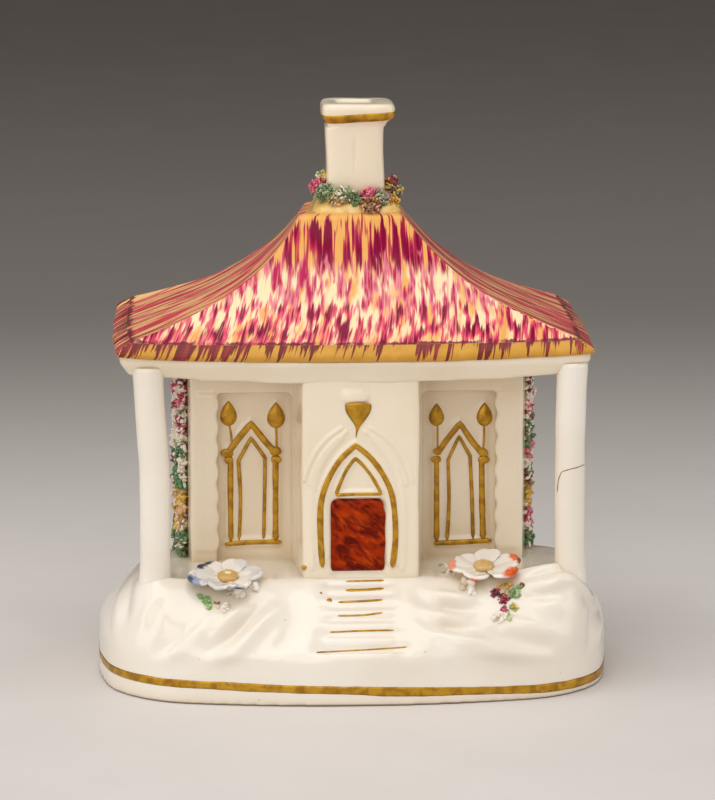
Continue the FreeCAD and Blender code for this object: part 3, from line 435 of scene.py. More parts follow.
# Rows of brush strokes down the front of the roof: where the row starts and ends in millimetres down
# the slope, how much of the ground shows (higher is more), how fast the paint changes down the slope, and
# its dark and light colours.
MAROON = (0.210, 0.0005, 0.034)
CRIMSON = (0.48, 0.006, 0.075)
ROSE = (0.80, 0.070, 0.155)
MAUVE = (0.78, 0.20, 0.27)
ROOF_ROWS = {
    "top": (1.2, 14.5, 0.465, 0.070, MAROON, CRIMSON),
    "upper": (10.0, 19.5, 0.500, 0.120, CRIMSON, MAUVE),
    "middle": (15.5, 25.0, 0.515, 0.150, CRIMSON, MAUVE),
    "lower": (21.0, 31.0, 0.495, 0.150, MAROON, ROSE),
    "eave": (27.0, 37.0, 0.475, 0.130, MAROON, ROSE),
}


def stroke_row(shader, across, down, seed, row):
    """How much of a row's paint lies on each place, and how thick it is, both from 0 to 1."""
    start, end, open_ground, pace, _, _ = row
    body = streaks(shader, across, down, (0.70, pace), seed, 1)
    hair = streaks(shader, across, down, (2.6, pace), seed + 5.3, 2)
    mixed = shader.maths("ADD", shader.maths("MULTIPLY", body, 0.68), shader.maths("MULTIPLY", hair, 0.32))
    ends = streaks(shader, across, down, (0.65, 0.0), seed + 2.9, 3)
    reach = shader.maths("MULTIPLY", shader.maths("SUBTRACT", ends, 0.5), 14.0)
    fray = shader.maths("MULTIPLY", shader.maths("SUBTRACT", hair, 0.5), 7.0)
    place = shader.maths("ADD", down, shader.maths("ADD", reach, fray))
    begun = shader.rise(place, start, start + 1.6)
    ended = shader.rise(place, end - 2.2, end, 1.0, 0.0)
    cover = shader.rise(mixed, open_ground - 0.030, open_ground + 0.022)
    thick = shader.rise(mixed, open_ground + 0.020, open_ground + 0.125)
    return shader.maths("MULTIPLY", cover, shader.maths("MULTIPLY", begun, ended)), thick


def thatch_ground_and_sheen(shader, across, down, front, slope):
    """Ochre, with cream patches half way down, most on the front, that are painted sheen: the lamps'
    reflection where the slope curves.
    """
    patch = streaks(shader, across, down, (0.34, 0.08), 8.8, 3)
    middle = shader.maths("MULTIPLY", shader.rise(down, 10, 15), shader.rise(down, 25, 34, 1.0, 0.6))
    middle = shader.maths("MULTIPLY", middle, slope)
    # The cream patches: painted sheen.
    pale = shader.maths("MULTIPLY", shader.rise(patch, 0.38, 0.50), middle)
    pale = shader.maths("MULTIPLY", pale, shader.maths("ADD", shader.maths("MULTIPLY", front, 0.6), 0.4))
    tone = streaks(shader, across, down, (0.8, 0.1), 1.2, 2)
    ochre = shader.mix(tone, (0.90, 0.50, 0.15), (0.78, 0.37, 0.085))
    return shader.mix(pale, ochre, (0.95, 0.76, 0.47))


def thatch_sides(shader, across, down, side, colour):
    """The side faces' long combed lines, which cross a little."""
    dark = (0.36, 0.008, 0.05)
    colour = shader.mix(shader.maths("MULTIPLY", side, 0.75), colour, (1.0, 0.62, 0.26))
    for seed, skew, tint in ((2.2, 0.17, (0.86, 0.07, 0.11)), (6.4, -0.14, (0.92, 0.13, 0.18)),
                             (9.1, 0.02, (0.72, 0.03, 0.09))):
        line = streaks(shader, across, down, (0.52, 0.035), seed, 3, skew)
        cover = shader.maths("MULTIPLY", shader.rise(line, 0.535, 0.565), side)
        tone = shader.mix(shader.rise(line, 0.61, 0.70), tint, dark)
        colour = shader.mix(shader.maths("MULTIPLY", cover, 0.90), colour, tone)
    return colour


def thatch_rim(shader, across, down, beyond, front, side, colour):
    """The dark line of the relief over the eaves, the ochre rim and the short strokes that hang on it."""
    broken = streaks(shader, across, down, (0.13, 0.0), 4.1, 3)
    hair = streaks(shader, across, down, (2.2, 0.05), 7.7, 2)
    ragged = shader.maths("ADD", beyond, shader.maths("MULTIPLY", shader.maths("SUBTRACT", hair, 0.5), 3.0))
    ledge = shader.maths("MULTIPLY", shader.rise(ragged, -1.1, -0.7), shader.rise(beyond, 0.2, 0.6, 1.0, 0.0))
    ledge = shader.maths("MULTIPLY", ledge, shader.rise(broken, 0.40, 0.50, 0.25, 0.92))
    colour = shader.mix(ledge, colour, (0.16, 0.006, 0.030))
    ground = streaks(shader, across, down, (0.35, 0.3), 6.6, 3)
    ochre = shader.mix(ground, (0.78, 0.42, 0.08), (0.50, 0.23, 0.025))
    on_front = shader.maths("MULTIPLY", front, shader.rise(beyond, 0.35, 0.65))
    on_side = shader.maths("MULTIPLY", side, shader.rise(ragged, 5.2, 6.2))
    colour = shader.mix(shader.maths("ADD", on_front, on_side), colour, ochre)
    stub = streaks(shader, across, down, (0.62, 0.02), 5.5, 2)
    stub = shader.maths("ADD", shader.maths("MULTIPLY", stub, 0.6), shader.maths("MULTIPLY", hair, 0.4))
    stub = shader.maths("SUBTRACT", stub, shader.maths("MULTIPLY", beyond, 0.014))
    leftward = shader.maths("MULTIPLY", shader.rise(across, -50, -28, 0.045, 0.0), front)
    stub = shader.maths("ADD", stub, leftward)
    stub = shader.maths("MULTIPLY", shader.rise(stub, 0.466, 0.486), shader.rise(beyond, 0.3, 0.5))
    tone = shader.mix(shader.rise(hair, 0.4, 0.6), (0.30, 0.02, 0.04), (0.13, 0.006, 0.022))
    return shader.mix(shader.maths("MULTIPLY", stub, 0.93), colour, tone)


def roof_enamel():
    """Crimson thatch strokes over an ochre ground, with painted sheen half way down: cream patches and pale
    streaks for the lamps' reflection.
    """
    shader = Shader("roof_enamel", 0.14, coat=0.05)
    shader.surface.inputs["Specular IOR Level"].default_value = 0.14
    lengths = shader.node("ShaderNodeSeparateXYZ")
    shader.put(lengths.inputs[0], shader.attribute("brush").outputs["Vector"])
    across, down, sideways = lengths.outputs
    beyond = shader.attribute("eave").outputs["Fac"]
    front = shader.rise(sideways, 0.4, 0.6, 1.0, 0.0)
    side = shader.rise(sideways, 0.4, 0.6)
    slope = shader.rise(beyond, 0.2, 0.6, 1.0, 0.0)
    colour = thatch_ground_and_sheen(shader, across, down, front, slope)
    for seed, row in enumerate(ROOF_ROWS.values()):
        cover, thick = stroke_row(shader, across, down, 3.0 + 7.7 * seed, row)
        tone = shader.mix(thick, row[5], row[4])
        strength = shader.maths("MULTIPLY", front, shader.rise(thick, 0.0, 0.4, 0.92, 1.0))
        colour = shader.mix(shader.maths("MULTIPLY", cover, strength), colour, tone)
    colour = thatch_sides(shader, across, down, side, colour)
    # Pale streaks from the second row down the front: painted glints of the lamps' reflection.
    hairs = streaks(shader, across, down, (3.2, 0.09), 9.3, 2)
    painted_glints = shader.maths("MULTIPLY", shader.rise(hairs, 0.59, 0.65, 0.0, 0.4), shader.rise(down, 9, 15))
    painted_glints = shader.maths("MULTIPLY", painted_glints, slope)
    colour = shader.mix(shader.maths("MULTIPLY", painted_glints, front), colour, (0.96, 0.62, 0.36))
    colour = thatch_rim(shader, across, down, beyond, front, side, colour)
    shader.colour(colour)
    shader.bump(hairs, 0.08, 0.0004)
    return shader.material


def painted_clay(name, roughness, bump):
    """Glazed clay with the colours kept in "paint", mottled and a little rough."""
    shader = Shader(name, roughness, coat=0.2)
    place = shader.place()
    colour = shader.attribute("paint").outputs["Color"]
    mottle = shader.noise(place, 700, 3)
    shader.colour(shader.mix(shader.rise(mottle, 0.35, 0.75, 0.0, 0.06), colour, (0.52, 0.42, 0.28)))
    shader.bump(shader.noise(place, 1500, 3), bump, 0.0005)
    return shader.material


def charcoal():
    shader = Shader("charcoal", 0.85)
    place = shader.place()
    shader.colour(shader.mix(shader.noise(place, 900, 4), (0.02, 0.018, 0.016), (0.075, 0.068, 0.06)))
    shader.bump(shader.noise(place, 2200, 4), 0.5, 0.0008)
    return shader.material


def kiln_dirt():
    """What darkens pinholes and an old break."""
    shader = Shader("kiln_dirt", 0.5)
    grain = shader.noise(shader.place(), 1400, 3)
    shader.colour(shader.mix(shader.rise(grain, 0.35, 0.65), (0.20, 0.13, 0.07), (0.38, 0.27, 0.16)))
    shader.bump(grain, 0.3, 0.0003)
    return shader.material


# The last colour of each glaze is its colour in hollows: pooled glaze and painted shade.
GLAZE = white_glaze("white_glaze", (0.885, 0.83, 0.745), (0.84, 0.77, 0.665), (0.66, 0.54, 0.37))
CREAM_GLAZE = white_glaze("cream_glaze", (0.88, 0.775, 0.615), (0.83, 0.71, 0.54), (0.62, 0.46, 0.25))
GOLD = gilding()
OCHRE = ochre_enamel()
DOOR = door_enamel()
ROOF = roof_enamel()
MOSS = painted_clay("moss_enamel", 0.32, 0.35)
PETAL = painted_clay("petal_glaze", 0.16, 0.06)
COAL = charcoal()
KILN_DIRT = kiln_dirt()


# Base

BASE_PARTS = ["base_mound", "front_steps"]

# Folds of the draped clay, each a line of photograph pixels down the mound, with its width and its
# height in millimetres; a height below zero is a groove.
FOLDS = {
    "left_long_ridge": ([(283, 605), (262, 622), (235, 650), (200, 668)], 2.6, 0.9),
    "left_long_groove": ([(266, 603), (240, 628), (205, 655)], 2.4, -0.9),
    "left_middle_ridge": ([(222, 612), (196, 632), (168, 655)], 2.6, 0.7),
    "left_under_flower": ([(248, 604), (232, 618), (212, 640)], 2.0, 0.6),
    "left_groove": ([(205, 620), (178, 640), (150, 655)], 2.2, -0.6),
    "left_short_ridge": ([(156, 606), (149, 618), (143, 630)], 1.4, 0.5),
    "left_short_groove": ([(163, 606), (155, 620), (148, 634)], 1.3, -0.5),
    "left_post_groove": ([(131, 584), (127, 602), (126, 622)], 1.4, -0.6),
    "left_post_lobe": ([(121, 590), (117, 610), (116, 634)], 2.2, 0.5),
    "steps_left_ridge": ([(322, 590), (318, 612), (306, 640)], 2.0, 0.6),
    "steps_left_groove": ([(305, 604), (296, 628), (276, 652)], 2.2, -0.6),
    "steps_right_ridge": ([(406, 589), (405, 606), (408, 622)], 1.7, 0.9),
    "right_upper_groove": ([(408, 591), (428, 602), (455, 607), (478, 609)], 1.6, -0.9),
    "right_upper_ridge": ([(430, 594), (455, 598), (476, 603)], 1.8, 0.7),
    "right_lens_ridge": ([(414, 603), (438, 616), (470, 622)], 1.8, 0.7),
    "right_lens_groove": ([(412, 609), (436, 624), (470, 630)], 1.6, -0.8),
    "right_long_ridge": ([(414, 622), (440, 636), (480, 645), (520, 657), (560, 661)], 2.6, 0.9),
    "right_sweep_groove": ([(487, 632), (520, 640), (556, 648)], 2.0, -0.6),
    "right_sweep_ridge": ([(500, 620), (540, 632), (575, 640)], 2.2, 0.7),
    "end_upper_lens": ([(530, 589), (555, 586), (585, 592)], 1.6, -0.6),
    "end_upper_ridge": ([(528, 597), (556, 602), (585, 601), (599, 592)], 1.7, 0.9),
    "end_lower_groove": ([(524, 604), (556, 611), (588, 608)], 1.6, -0.7),
    "end_ridge": ([(530, 612), (562, 620), (590, 622)], 2.0, 0.6),
    "end_upright_groove": ([(593, 610), (591, 632), (588, 652)], 1.5, -0.6),
    "end_upright_ridge": ([(600, 604), (600, 628), (598, 652)], 1.6, 0.6),
}


# All folds together: how high and how wide they are beside the list above.
FOLD_HEIGHT = 1.75
FOLD_WIDTH = 0.80

# The mound's outline at its two ends, in photograph pixels. Nothing of the mound shows above it.
SHOULDERS = {
    "left": [(96, 640), (101.2, 611.7), (104.5, 599), (112.4, 591), (124.4, 577.2), (138.2, 561.7),
             (156, 542)],
    "right": [(574, 548), (587.3, 570.7), (593.6, 581.4), (601.6, 590.4), (606, 610), (610, 640)],
}
# Lobes of clay round the posts' feet: the place, the reach each way and the height, in millimetres.
LOBES = {
    "right_post": ((48.5, -26.0), (8.5, 7.0), 5.2),
    "right_inside": ((38.0, -25.0), (6.0, 5.0), 1.6),
    "left_post": ((-46.0, -27.0), (7.0, 6.0), 1.8),
}


def curve_through(points, steps=6):
    """Points on a smooth curve through the given ones. A point that is given twice is a corner."""
    for place in range(len(points) - 1):
        if points[place] == points[place + 1]:
            return curve_through(points[:place + 1], steps)[:-1] + curve_through(points[place + 1:], steps)
    made = []
    count = len(points)
    for place in range(count - 1):
        before = points[max(place - 1, 0)]
        first, second = points[place], points[place + 1]
        after = points[min(place + 2, count - 1)]
        for step in range(steps):
            t = step / steps
            made.append(tuple(
                0.5 * (2 * b + (c - a) * t + (2 * a - 5 * b + 4 * c - d) * t * t
                       + (3 * b - a - 3 * c + d) * t ** 3)
                for a, b, c, d in zip(before, first, second, after)))
    made.append(tuple(float(c) for c in points[-1]))
    return made


def fold_heights(points, tree):
    """How far the folds lift each point of the mound."""
    lift = np.zeros(len(points))
    for line, width, height in FOLDS.values():
        trace = np.array([near_surface(u, v, tree) for u, v in curve_through(line, 18)])
        count = len(trace)
        reach = 3 * FOLD_WIDTH * width
        near = ((points > trace.min(axis=0) - reach) & (points < trace.max(axis=0) + reach)).all(axis=1)
        local = points[near]
        nearest = np.full(len(local), 1e9)
        strength = np.zeros(len(local))
        for place, centre in enumerate(trace):
            distance = np.linalg.norm(local - centre, axis=1)
            closer = distance < nearest
            nearest[closer] = distance[closer]
            strength[closer] = math.sin(math.pi * (0.06 + 0.88 * place / (count - 1)))
        lift[near] += FOLD_HEIGHT * height * strength * np.exp(-(nearest / (FOLD_WIDTH * width)) ** 2)
    return lift


def pixels_of(points):
    """Where points show in the photograph."""
    right, up, back = (np.array(axis) for axis in camera_axes())
    away = points - np.array(CAMERA_PLACE)
    focal = CAMERA_LENS / SENSOR * PHOTO_HEIGHT
    depth = -(away @ back)
    return PHOTO_WIDTH / 2 + focal * (away @ right) / depth, PHOTO_HEIGHT / 2 - focal * (away @ up) / depth


def shape_ends(points, skin):
    """Raise the lobes round the posts, then lower the mound's shoulders to the photograph's outline."""
    for (x, y), (wide, deep), height in LOBES.values():
        lobe = np.exp(-((points[:, 0] - x) / wide) ** 2 - ((points[:, 1] - y) / deep) ** 2)
        points[:, 2] += height * lobe * smoothstep(11, 19, points[:, 2])
    u, v = pixels_of(points)
    for side, line in SHOULDERS.items():
        xs, ys = zip(*line)
        inside = u < xs[-1] if side == "left" else u > xs[0]
        above = np.interp(u, xs, ys) - v
        drop = (above + np.sqrt(above ** 2 + 16)) / 2
        fade = smoothstep(xs[-1], xs[-1] - 14, u) if side == "left" else smoothstep(xs[0], xs[0] + 12, u)
        points[:, 2] -= inside * fade * skin * drop / PIXELS_PER_MM
    return points


def soft_waves(points, size, seed):
    return np.array([noise.noise(Vector(point) / size + Vector((seed, 0, 0))) for point in points])


# How far the mound stays inside its solid's box, so that the gilding has room there.
BAND_ROOM = 0.12


def soften_some(piece, amounts, rounds):
    """Smooth some of an object's points, each as much as its amount says."""
    piece.vertex_groups.clear()
    group = piece.vertex_groups.new(name="soft")
    for level in (0.34, 0.67, 1.0):
        picked = np.nonzero((amounts > level - 0.33) & (amounts <= level))[0]
        group.add([int(index) for index in picked], level, "REPLACE")
    ease = piece.modifiers.new("ease", "SMOOTH")
    ease.vertex_group = group.name
    ease.iterations = rounds
    bake_modifiers(piece)


def soften_base(piece, points, middle, porch_y, off_steps):
    """Smooth the steps a little, the clay beside them much, and the mound's two ends."""
    off_middle = np.abs(points[:, 0] - middle)
    above_foot = smoothstep(7, 11, points[:, 2])
    before_porch = smoothstep(porch_y + 1.5, porch_y - 1.0, points[:, 1]) * above_foot
    flank = smoothstep(7.0, 10.0, off_middle) * smoothstep(18.0, 14.0, off_middle)
    ends = smoothstep(42, 48, np.abs(points[:, 0]))
    soften_some(piece, (1 - off_steps) * before_porch, 22)
    soften_some(piece, flank * before_porch, 90)
    soften_some(piece, ends * above_foot, 45)
    ease = piece.modifiers.new("ease", "SMOOTH")
    ease.factor = 0.5
    ease.iterations = 2
    bake_modifiers(piece)


def make_base():
    """The mound and its steps as one skin, with folds, waves and the photograph's outline. It gives a tree
    of its surface, for what is laid on it."""
    piece = joined_copy("mound", BASE_PARTS)
    melt_together(piece, 0.5, 3)
    points = get_points(piece)
    normals = get_normals(piece)
    low, high = corners_mm("base_mound")
    height = points[:, 2]
    radial = np.stack([points[:, 0] / (high.x ** 2), points[:, 1] / (high.y ** 2)], axis=1)
    radial /= np.linalg.norm(radial, axis=1)[:, None] + 1e-9
    outward = (radial * normals[:, :2]).sum(axis=1)
    outside = np.maximum(outward, np.where(height > high.z - 8, normals[:, 2], 0))
    skin = smoothstep(0.05, 0.35, outside) * smoothstep(7.0, 12.0, height)
    _, house_high = corners_mm("rear_wall")
    porch_low, _ = corners_mm("porch_wall")
    clear_of_house = smoothstep(0.3, 4.0, porch_low.y - points[:, 1])
    at_side = smoothstep(0.5, 4.0, np.abs(points[:, 0] - 1.1) - (house_high.x - 1.1))
    steps_low, steps_high = corners_mm("front_steps")
    middle = (steps_low.x + steps_high.x) / 2
    off_steps = smoothstep(8.0, 11.5, np.abs(points[:, 0] - middle))
    folds = fold_heights(points, tree_of(piece))
    waves = soft_waves(points, 9.0, 3.1) * 0.7 + soft_waves(points, 21.0, 8.4) * 0.8
    where = skin * np.maximum(clear_of_house * np.maximum(off_steps, 0.15), at_side)
    front = smoothstep(-4.0, -12.0, points[:, 1])
    back_folds = np.sin(points[:, 0] * 0.34 + 2.2 * soft_waves(points, 16.0, 1.7)) * (1 - front)
    back_zone = skin * smoothstep(house_high.y - 2, house_high.y + 4, points[:, 1])
    lift = where * (folds + 0.5 * waves) + back_zone * (0.4 * back_folds + 0.5 * waves)
    lift = np.clip(lift, -2.2, 1.7)
    edge = np.minimum(high.x - np.abs(points[:, 0]), high.y - np.abs(points[:, 1]))
    lift = np.where(lift > 0, np.minimum(lift, np.maximum(edge, 0.0)), lift)
    points = points + normals * lift[:, None]
    upper = smoothstep(12.0, 15.0, height) * np.maximum(clear_of_house, at_side)
    points = shape_ends(points, upper)
    points[:, 0] = np.clip(points[:, 0], low.x + BAND_ROOM, high.x - BAND_ROOM)
    points[:, 1] = np.clip(points[:, 1], low.y + BAND_ROOM, high.y - BAND_ROOM)
    set_points(piece, points)
    soften_base(piece, points, middle, porch_low.y, off_steps)
    finish_piece(piece, GLAZE, BASE_PARTS)
    return tree_of(piece)


# Strokes of gilding, as thin domed ribbons

RIBBON_SPAN = 6


def ribbon(path, widths, seat):
    """A domed ribbon with rounded ends. Path is a list of places (a, b), and seat turns a place and a
    height above the surface into a point."""
    vertices = []
    count = len(path)
    for place, (a, b) in enumerate(path):
        before = path[max(place - 1, 0)]
        after = path[min(place + 1, count - 1)]
        along = Vector((after[0] - before[0], after[1] - before[1]))
        along.normalize()
        across = Vector((-along.y, along.x))
        half = widths[place] / 2
        for step in range(RIBBON_SPAN + 1):
            share = 2 * step / RIBBON_SPAN - 1
            dome = math.sqrt(max(1 - share * share, 0.0)) ** 0.45
            vertices.append(seat(a + across.x * half * share, b + across.y * half * share, dome))
        vertices.append(seat(a, b, -0.6))
    ring = RIBBON_SPAN + 2
    faces = ring_faces(ring, count)
    faces.append(tuple(range(ring - 1, -1, -1)))
    last = (count - 1) * ring
    faces.append(tuple(range(last, last + ring)))
    return vertices, faces


def hand_drawn(points, width, seed, taper=0.35, spacing=6):
    """A stroke's path and widths, with a hand's small unevenness and rounded ends."""
    path = curve_through(points, spacing)
    lengths = [0.0]
    for first, second in zip(path, path[1:]):
        lengths.append(lengths[-1] + math.dist(first, second))
    widths = []
    for reach in lengths:
        end = min(reach, lengths[-1] - reach)
        close = math.sqrt(min((end + 0.04 * width) / (taper * width), 1.0))
        widths.append(width * close * (1 + 0.16 * wander(reach, seed, 0.35)))
    return path, widths


def flat_seat(y, height):
    def seat(a, b, dome):
        return (a, y - height * dome if dome >= 0 else y + 0.3, b)
    return seat


def gather(parts):
    """Join several forms into one list of points and faces."""
    vertices, faces = [], []
    for points, polygons in parts:
        start = len(vertices)
        vertices += points
        faces += [tuple(start + index for index in polygon) for polygon in polygons]
    return vertices, faces


def from_pixels(pixels, y):
    places = [on_plane(u, v, y) for u, v in pixels]
    return [(place.x, place.z) for place in places]


def leaf(centre_x, foot, tip, width, y, height):
    """A pointed bud, domed, for a finial."""
    rows, spokes = 8, 20
    vertices = []
    for row in range(rows + 1):
        share = row / rows
        for spoke in range(spokes):
            angle = 2 * math.pi * spoke / spokes
            up = -math.cos(angle)
            z = foot + (tip - foot) * (up + 1) / 2
            full = math.sin(math.pi * ((up + 1) / 2) ** 0.72) ** 0.8
            at_end = spoke % (spokes // 2) == 0
            out = 0.0 if at_end else math.copysign(full, math.sin(angle)) * width / 2
            middle = foot + (tip - foot) * 0.4
            vertices.append((centre_x + out * (1 - share), y - height * math.sqrt(share * (2 - share)),
                             middle + (z - middle) * (1 - share)))
    return vertices, [tuple(range(spokes))] + ring_faces(spokes, rows + 1)


# Windows and doorway, traced in photograph pixels on the walls' faces

LEFT_WINDOW = {
    "gable": [(228, 453), (236, 441.5), (251, 423), (251, 423), (265, 441), (276, 453)],
    "left_pillar": [(230.5, 456), (230.5, 500), (231, 541)],
    "right_pillar": [(275.5, 456), (275.5, 500), (275.5, 541)],
    "left_capital": [(221, 454.5), (226, 453), (233, 454)],
    "right_capital": [(270.5, 453), (276, 451), (281, 452)],
    "left_necking": [(224.5, 460), (233, 460)],
    "right_necking": [(271, 459.5), (281, 459.5)],
    "sill": [(225, 544), (250, 542), (281, 541.5)],
    "casement": [(239, 541), (240.5, 500), (238.5, 461), (238.5, 461), (251, 438), (251, 438), (265, 458),
                 (265, 458), (264.5, 500), (263.5, 541)],
    "left_stem": [(229.5, 425), (231.5, 438), (231.5, 451)],
    "right_stem": [(276, 427), (276.5, 438), (276.5, 451)],
    "finials": [(228.4, 399, 427, 15.5), (276, 401, 429, 16)],
}
RIGHT_WINDOW = {
    "gable": [(438, 453), (446, 440.5), (460, 423), (460, 423), (472, 441), (482, 453)],
    "left_pillar": [(436.5, 458), (436.5, 500), (436.5, 541)],
    "right_pillar": [(481.5, 456), (482, 500), (483, 539)],
    "left_capital": [(433.5, 452), (437, 451), (441, 453)],
    "right_capital": [(478, 452), (482, 452), (487.5, 454)],
    "left_necking": [(431, 459), (441, 459)],
    "right_necking": [(478, 459.5), (489, 459)],
    "sill": [(434, 543), (460, 542), (491, 540)],
    "casement": [(447, 541), (449, 500), (448, 460), (448, 460), (459, 436), (459, 436), (470, 456),
                 (470, 456), (472, 500), (473, 539)],
    "left_stem": [(437.5, 425), (437.5, 436), (437.5, 450)],
    "right_stem": [(484, 425), (484, 436), (483, 450)],
    "finials": [(436.5, 402, 427, 14.5), (484.5, 401.5, 427, 14.5)],
}
GOLD_WIDTHS = {"gable": 1.75, "left_pillar": 1.55, "right_pillar": 1.65, "left_capital": 2.4,
               "right_capital": 2.4, "left_necking": 2.2, "right_necking": 2.2, "sill": 1.35,
               "left_stem": 0.6, "right_stem": 0.6}
FINIAL_WIDER = 1.2
DOORWAY = {
    "arch": [(322.5, 567), (320.5, 535), (321, 503), (328, 480), (340, 460), (355.5, 445), (355.5, 445),
             (371, 458), (385, 478), (393, 500), (395.5, 535), (392.5, 567)],
    "overdoor": [(336, 494), (341.5, 480), (347.5, 468), (354, 459.5), (357, 459.5), (365.5, 468), (374, 480),
                 (381, 493)],
    "overdoor_sill": [(335.5, 495), (358, 493.8), (382, 493.8)],
    "left_hood": [(306, 484), (310, 471), (319, 453), (330, 440), (345, 429)],
    "right_hood": [(367, 429), (382, 438), (395, 451), (404, 466), (410, 484)],
    "left_border": [(312, 570), (311, 525), (313, 488), (324, 458), (344, 434)],
    "right_border": [(402, 570), (403.5, 525), (401, 488), (390, 458), (370, 434)],
}


def window_skirt(strokes, y):
    """The soft white relief round a window that its gilding lies on."""
    parts = []
    for seed, (name, width) in enumerate(GOLD_WIDTHS.items()):
        path, widths = hand_drawn(from_pixels(strokes[name], y), width + 1.3, seed)
        parts.append(ribbon(path, widths, flat_seat(y, 0.34)))
    for u, top, foot, wide in strokes["finials"]:
        high, low = on_plane(u, top, y), on_plane(u, foot, y)
        width = FINIAL_WIDER * wide / PIXELS_PER_MM + 1.2
        parts.append(leaf(high.x, low.z - 0.5, high.z + 0.6, width, y, 0.36))
    return gather(parts)


def make_windows():
    for side, strokes in (("left", LEFT_WINDOW), ("right", RIGHT_WINDOW)):
        surround, casement = side + "_window_surround", side + "_window_casement"
        _, high = corners_mm(surround)
        wall_y = high.y
        parts = []
        for seed, (name, width) in enumerate(GOLD_WIDTHS.items()):
            path, widths = hand_drawn(from_pixels(strokes[name], wall_y), width, seed + 11)
            parts.append(ribbon(path, widths, flat_seat(wall_y, 0.62)))
        for u, top, foot, wide in strokes["finials"]:
            tip, low = on_plane(u, top, wall_y), on_plane(u, foot, wall_y)
            parts.append(leaf(tip.x, low.z, tip.z, FINIAL_WIDER * wide / PIXELS_PER_MM, wall_y, 0.85))
        gild(side + "_window_gilding", gather(parts), [surround])
        path, widths = hand_drawn(from_pixels(strokes["casement"], wall_y), 0.85, 5)
        gild(side + "_window_inner_line", ribbon(path, widths, flat_seat(wall_y, 0.36)), [casement])


def doorway_part(name, width, height, y, seed):
    path, widths = hand_drawn(from_pixels(DOORWAY[name], y), width, seed)
    return ribbon(path, widths, flat_seat(y, height))


def make_doorway(porch_y):
    gild("door_arch_gilding", doorway_part("arch", 1.6, 0.6, porch_y, 21), ["door_arch"])
    parts = [doorway_part("overdoor", 1.05, 0.55, porch_y, 22),
             doorway_part("overdoor_sill", 0.95, 0.55, porch_y, 23)]
    gild("overdoor_gilding", gather(parts), ["overdoor_window"])


def make_bell(porch_y):
    """The gilt bell over the arch: a flat top, hollow sides and a drawn-out tip."""
    low, high = corners_mm("arch_bell")
    centre = (low.x + high.x) / 2
    half = (high.x - low.x) / 2
    rows, spokes = 20, 9
    vertices = []
    for row in range(rows + 1):
        share = row / rows
        z = high.z + 0.3 - share * (high.z - low.z + 0.9)
        wide = 0.87 * half * (1 - smoothstep(0.16, 0.86, share)) * (1 - 0.08 * share) + 0.24
        drift = -0.45 * smoothstep(0.55, 1.0, share)
        thick = 1.25 * (1 - 0.7 * share)
        for spoke in range(spokes + 1):
            across = 2 * spoke / spokes - 1
            drop = 0.45 * abs(across) ** 3 * max(1 - share * 5, 0)
            vertices.append((centre + drift + across * wide,
                             porch_y + 0.2 - thick * math.sqrt(1 - 0.8 * across ** 2), z - drop))
        vertices.append((centre + drift, porch_y + 0.4, z))
    ring = spokes + 2
    ends = [tuple(range(ring)), tuple(range(rows * ring + ring - 1, rows * ring - 1, -1))]
    gild("bell_gilding", (vertices, ring_faces(ring, rows + 1) + ends), ["arch_bell"])


def make_door():
    """The painted door leaf: a slightly crowned panel with rounded shoulders."""
    low, high = corners_mm("door_panel")
    across_steps, up_steps = 26, 34
    centre = (low.x + high.x) / 2
    half = (high.x - low.x) / 2
    tall = high.z - low.z
    front, back = low.y, high.y
    grid = []
    for up in range(up_steps + 1):
        for across in range(across_steps + 1):
            a = 2 * across / across_steps - 1
            b = up / up_steps
            z = low.z + b * tall
            near_top = max(0.0, (b * tall - (tall - 1.6)) / 1.6)
            narrow = 1.6 * (1 - math.sqrt(max(1 - near_top ** 2, 0.0)))
            notch = 0.45 * smoothstep(0.78, 0.84, b) if a > 0 else 0
            wide = half - narrow + 0.30 * wander(z, 2 + (a > 0), 0.32) - notch
            rim = min((1 - abs(a)) * half, b * tall, (1 - b) * tall)
            crown = min(rim / 0.8, 1.0)
            y = front + 0.45 * (1 - math.sqrt(1 - (1 - crown) ** 2)) - 0.25 * crown
            grid.append((centre + a * wide, y, z))
    wide_count = across_steps + 1
    faces = []
    for up in range(up_steps):
        for across in range(across_steps):
            first = up * wide_count + across
            faces.append((first, first + 1, first + wide_count + 1, first + wide_count))
    rim_loop = ([up * wide_count for up in range(up_steps + 1)]
                + [up_steps * wide_count + across for across in range(1, wide_count)]
                + [up * wide_count + across_steps for up in range(up_steps - 1, -1, -1)]
                + [across for across in range(across_steps - 1, 0, -1)])
    start = len(grid)
    vertices = grid + [(grid[index][0], back, grid[index][2]) for index in rim_loop]
    count = len(rim_loop)
    for place in range(count):
        after = (place + 1) % count
        faces.append((rim_loop[place], rim_loop[after], start + after, start + place))
    faces.append(tuple(range(start, start + count)))
    piece = new_object("door_leaf", vertices, faces)
    tidy_normals(piece)
    finish_piece(piece, DOOR, ["door_panel"])


# House

HOUSE_WALLS = ["porch_wall", "left_bay_wall", "right_bay_wall", "left_side_wall", "right_side_wall",
               "rear_wall", "left_quoins", "right_quoins"]
HOUSE_RELIEF = ["bell_corbel", "hood_mould"]

# Photograph pixels of the swelling that the bell hangs from: its middle, width and height.
CORBEL = (354.5, 396.5, 27, 12)


def swelling(centre, half_x, half_y, half_z):
    """A soft lump with flattened sides."""
    rows, spokes = 10, 20
    vertices = []
    for row in range(1, rows):
        tilt = math.pi * row / rows
        for spoke in range(spokes):
            angle = 2 * math.pi * spoke / spokes
            c, s = math.cos(angle), math.sin(angle)
            reach = (abs(c) ** 4 + abs(s) ** 4) ** -0.25 * math.sin(tilt) ** 0.5
            vertices.append((centre[0] + half_x * reach * c, centre[1] - half_y * math.cos(tilt),
                             centre[2] + half_z * reach * s))
    ends = [tuple(range(spokes)), tuple(range((rows - 1) * spokes - 1, (rows - 2) * spokes - 1, -1))]
    return vertices, ends + ring_faces(spokes, rows - 1)


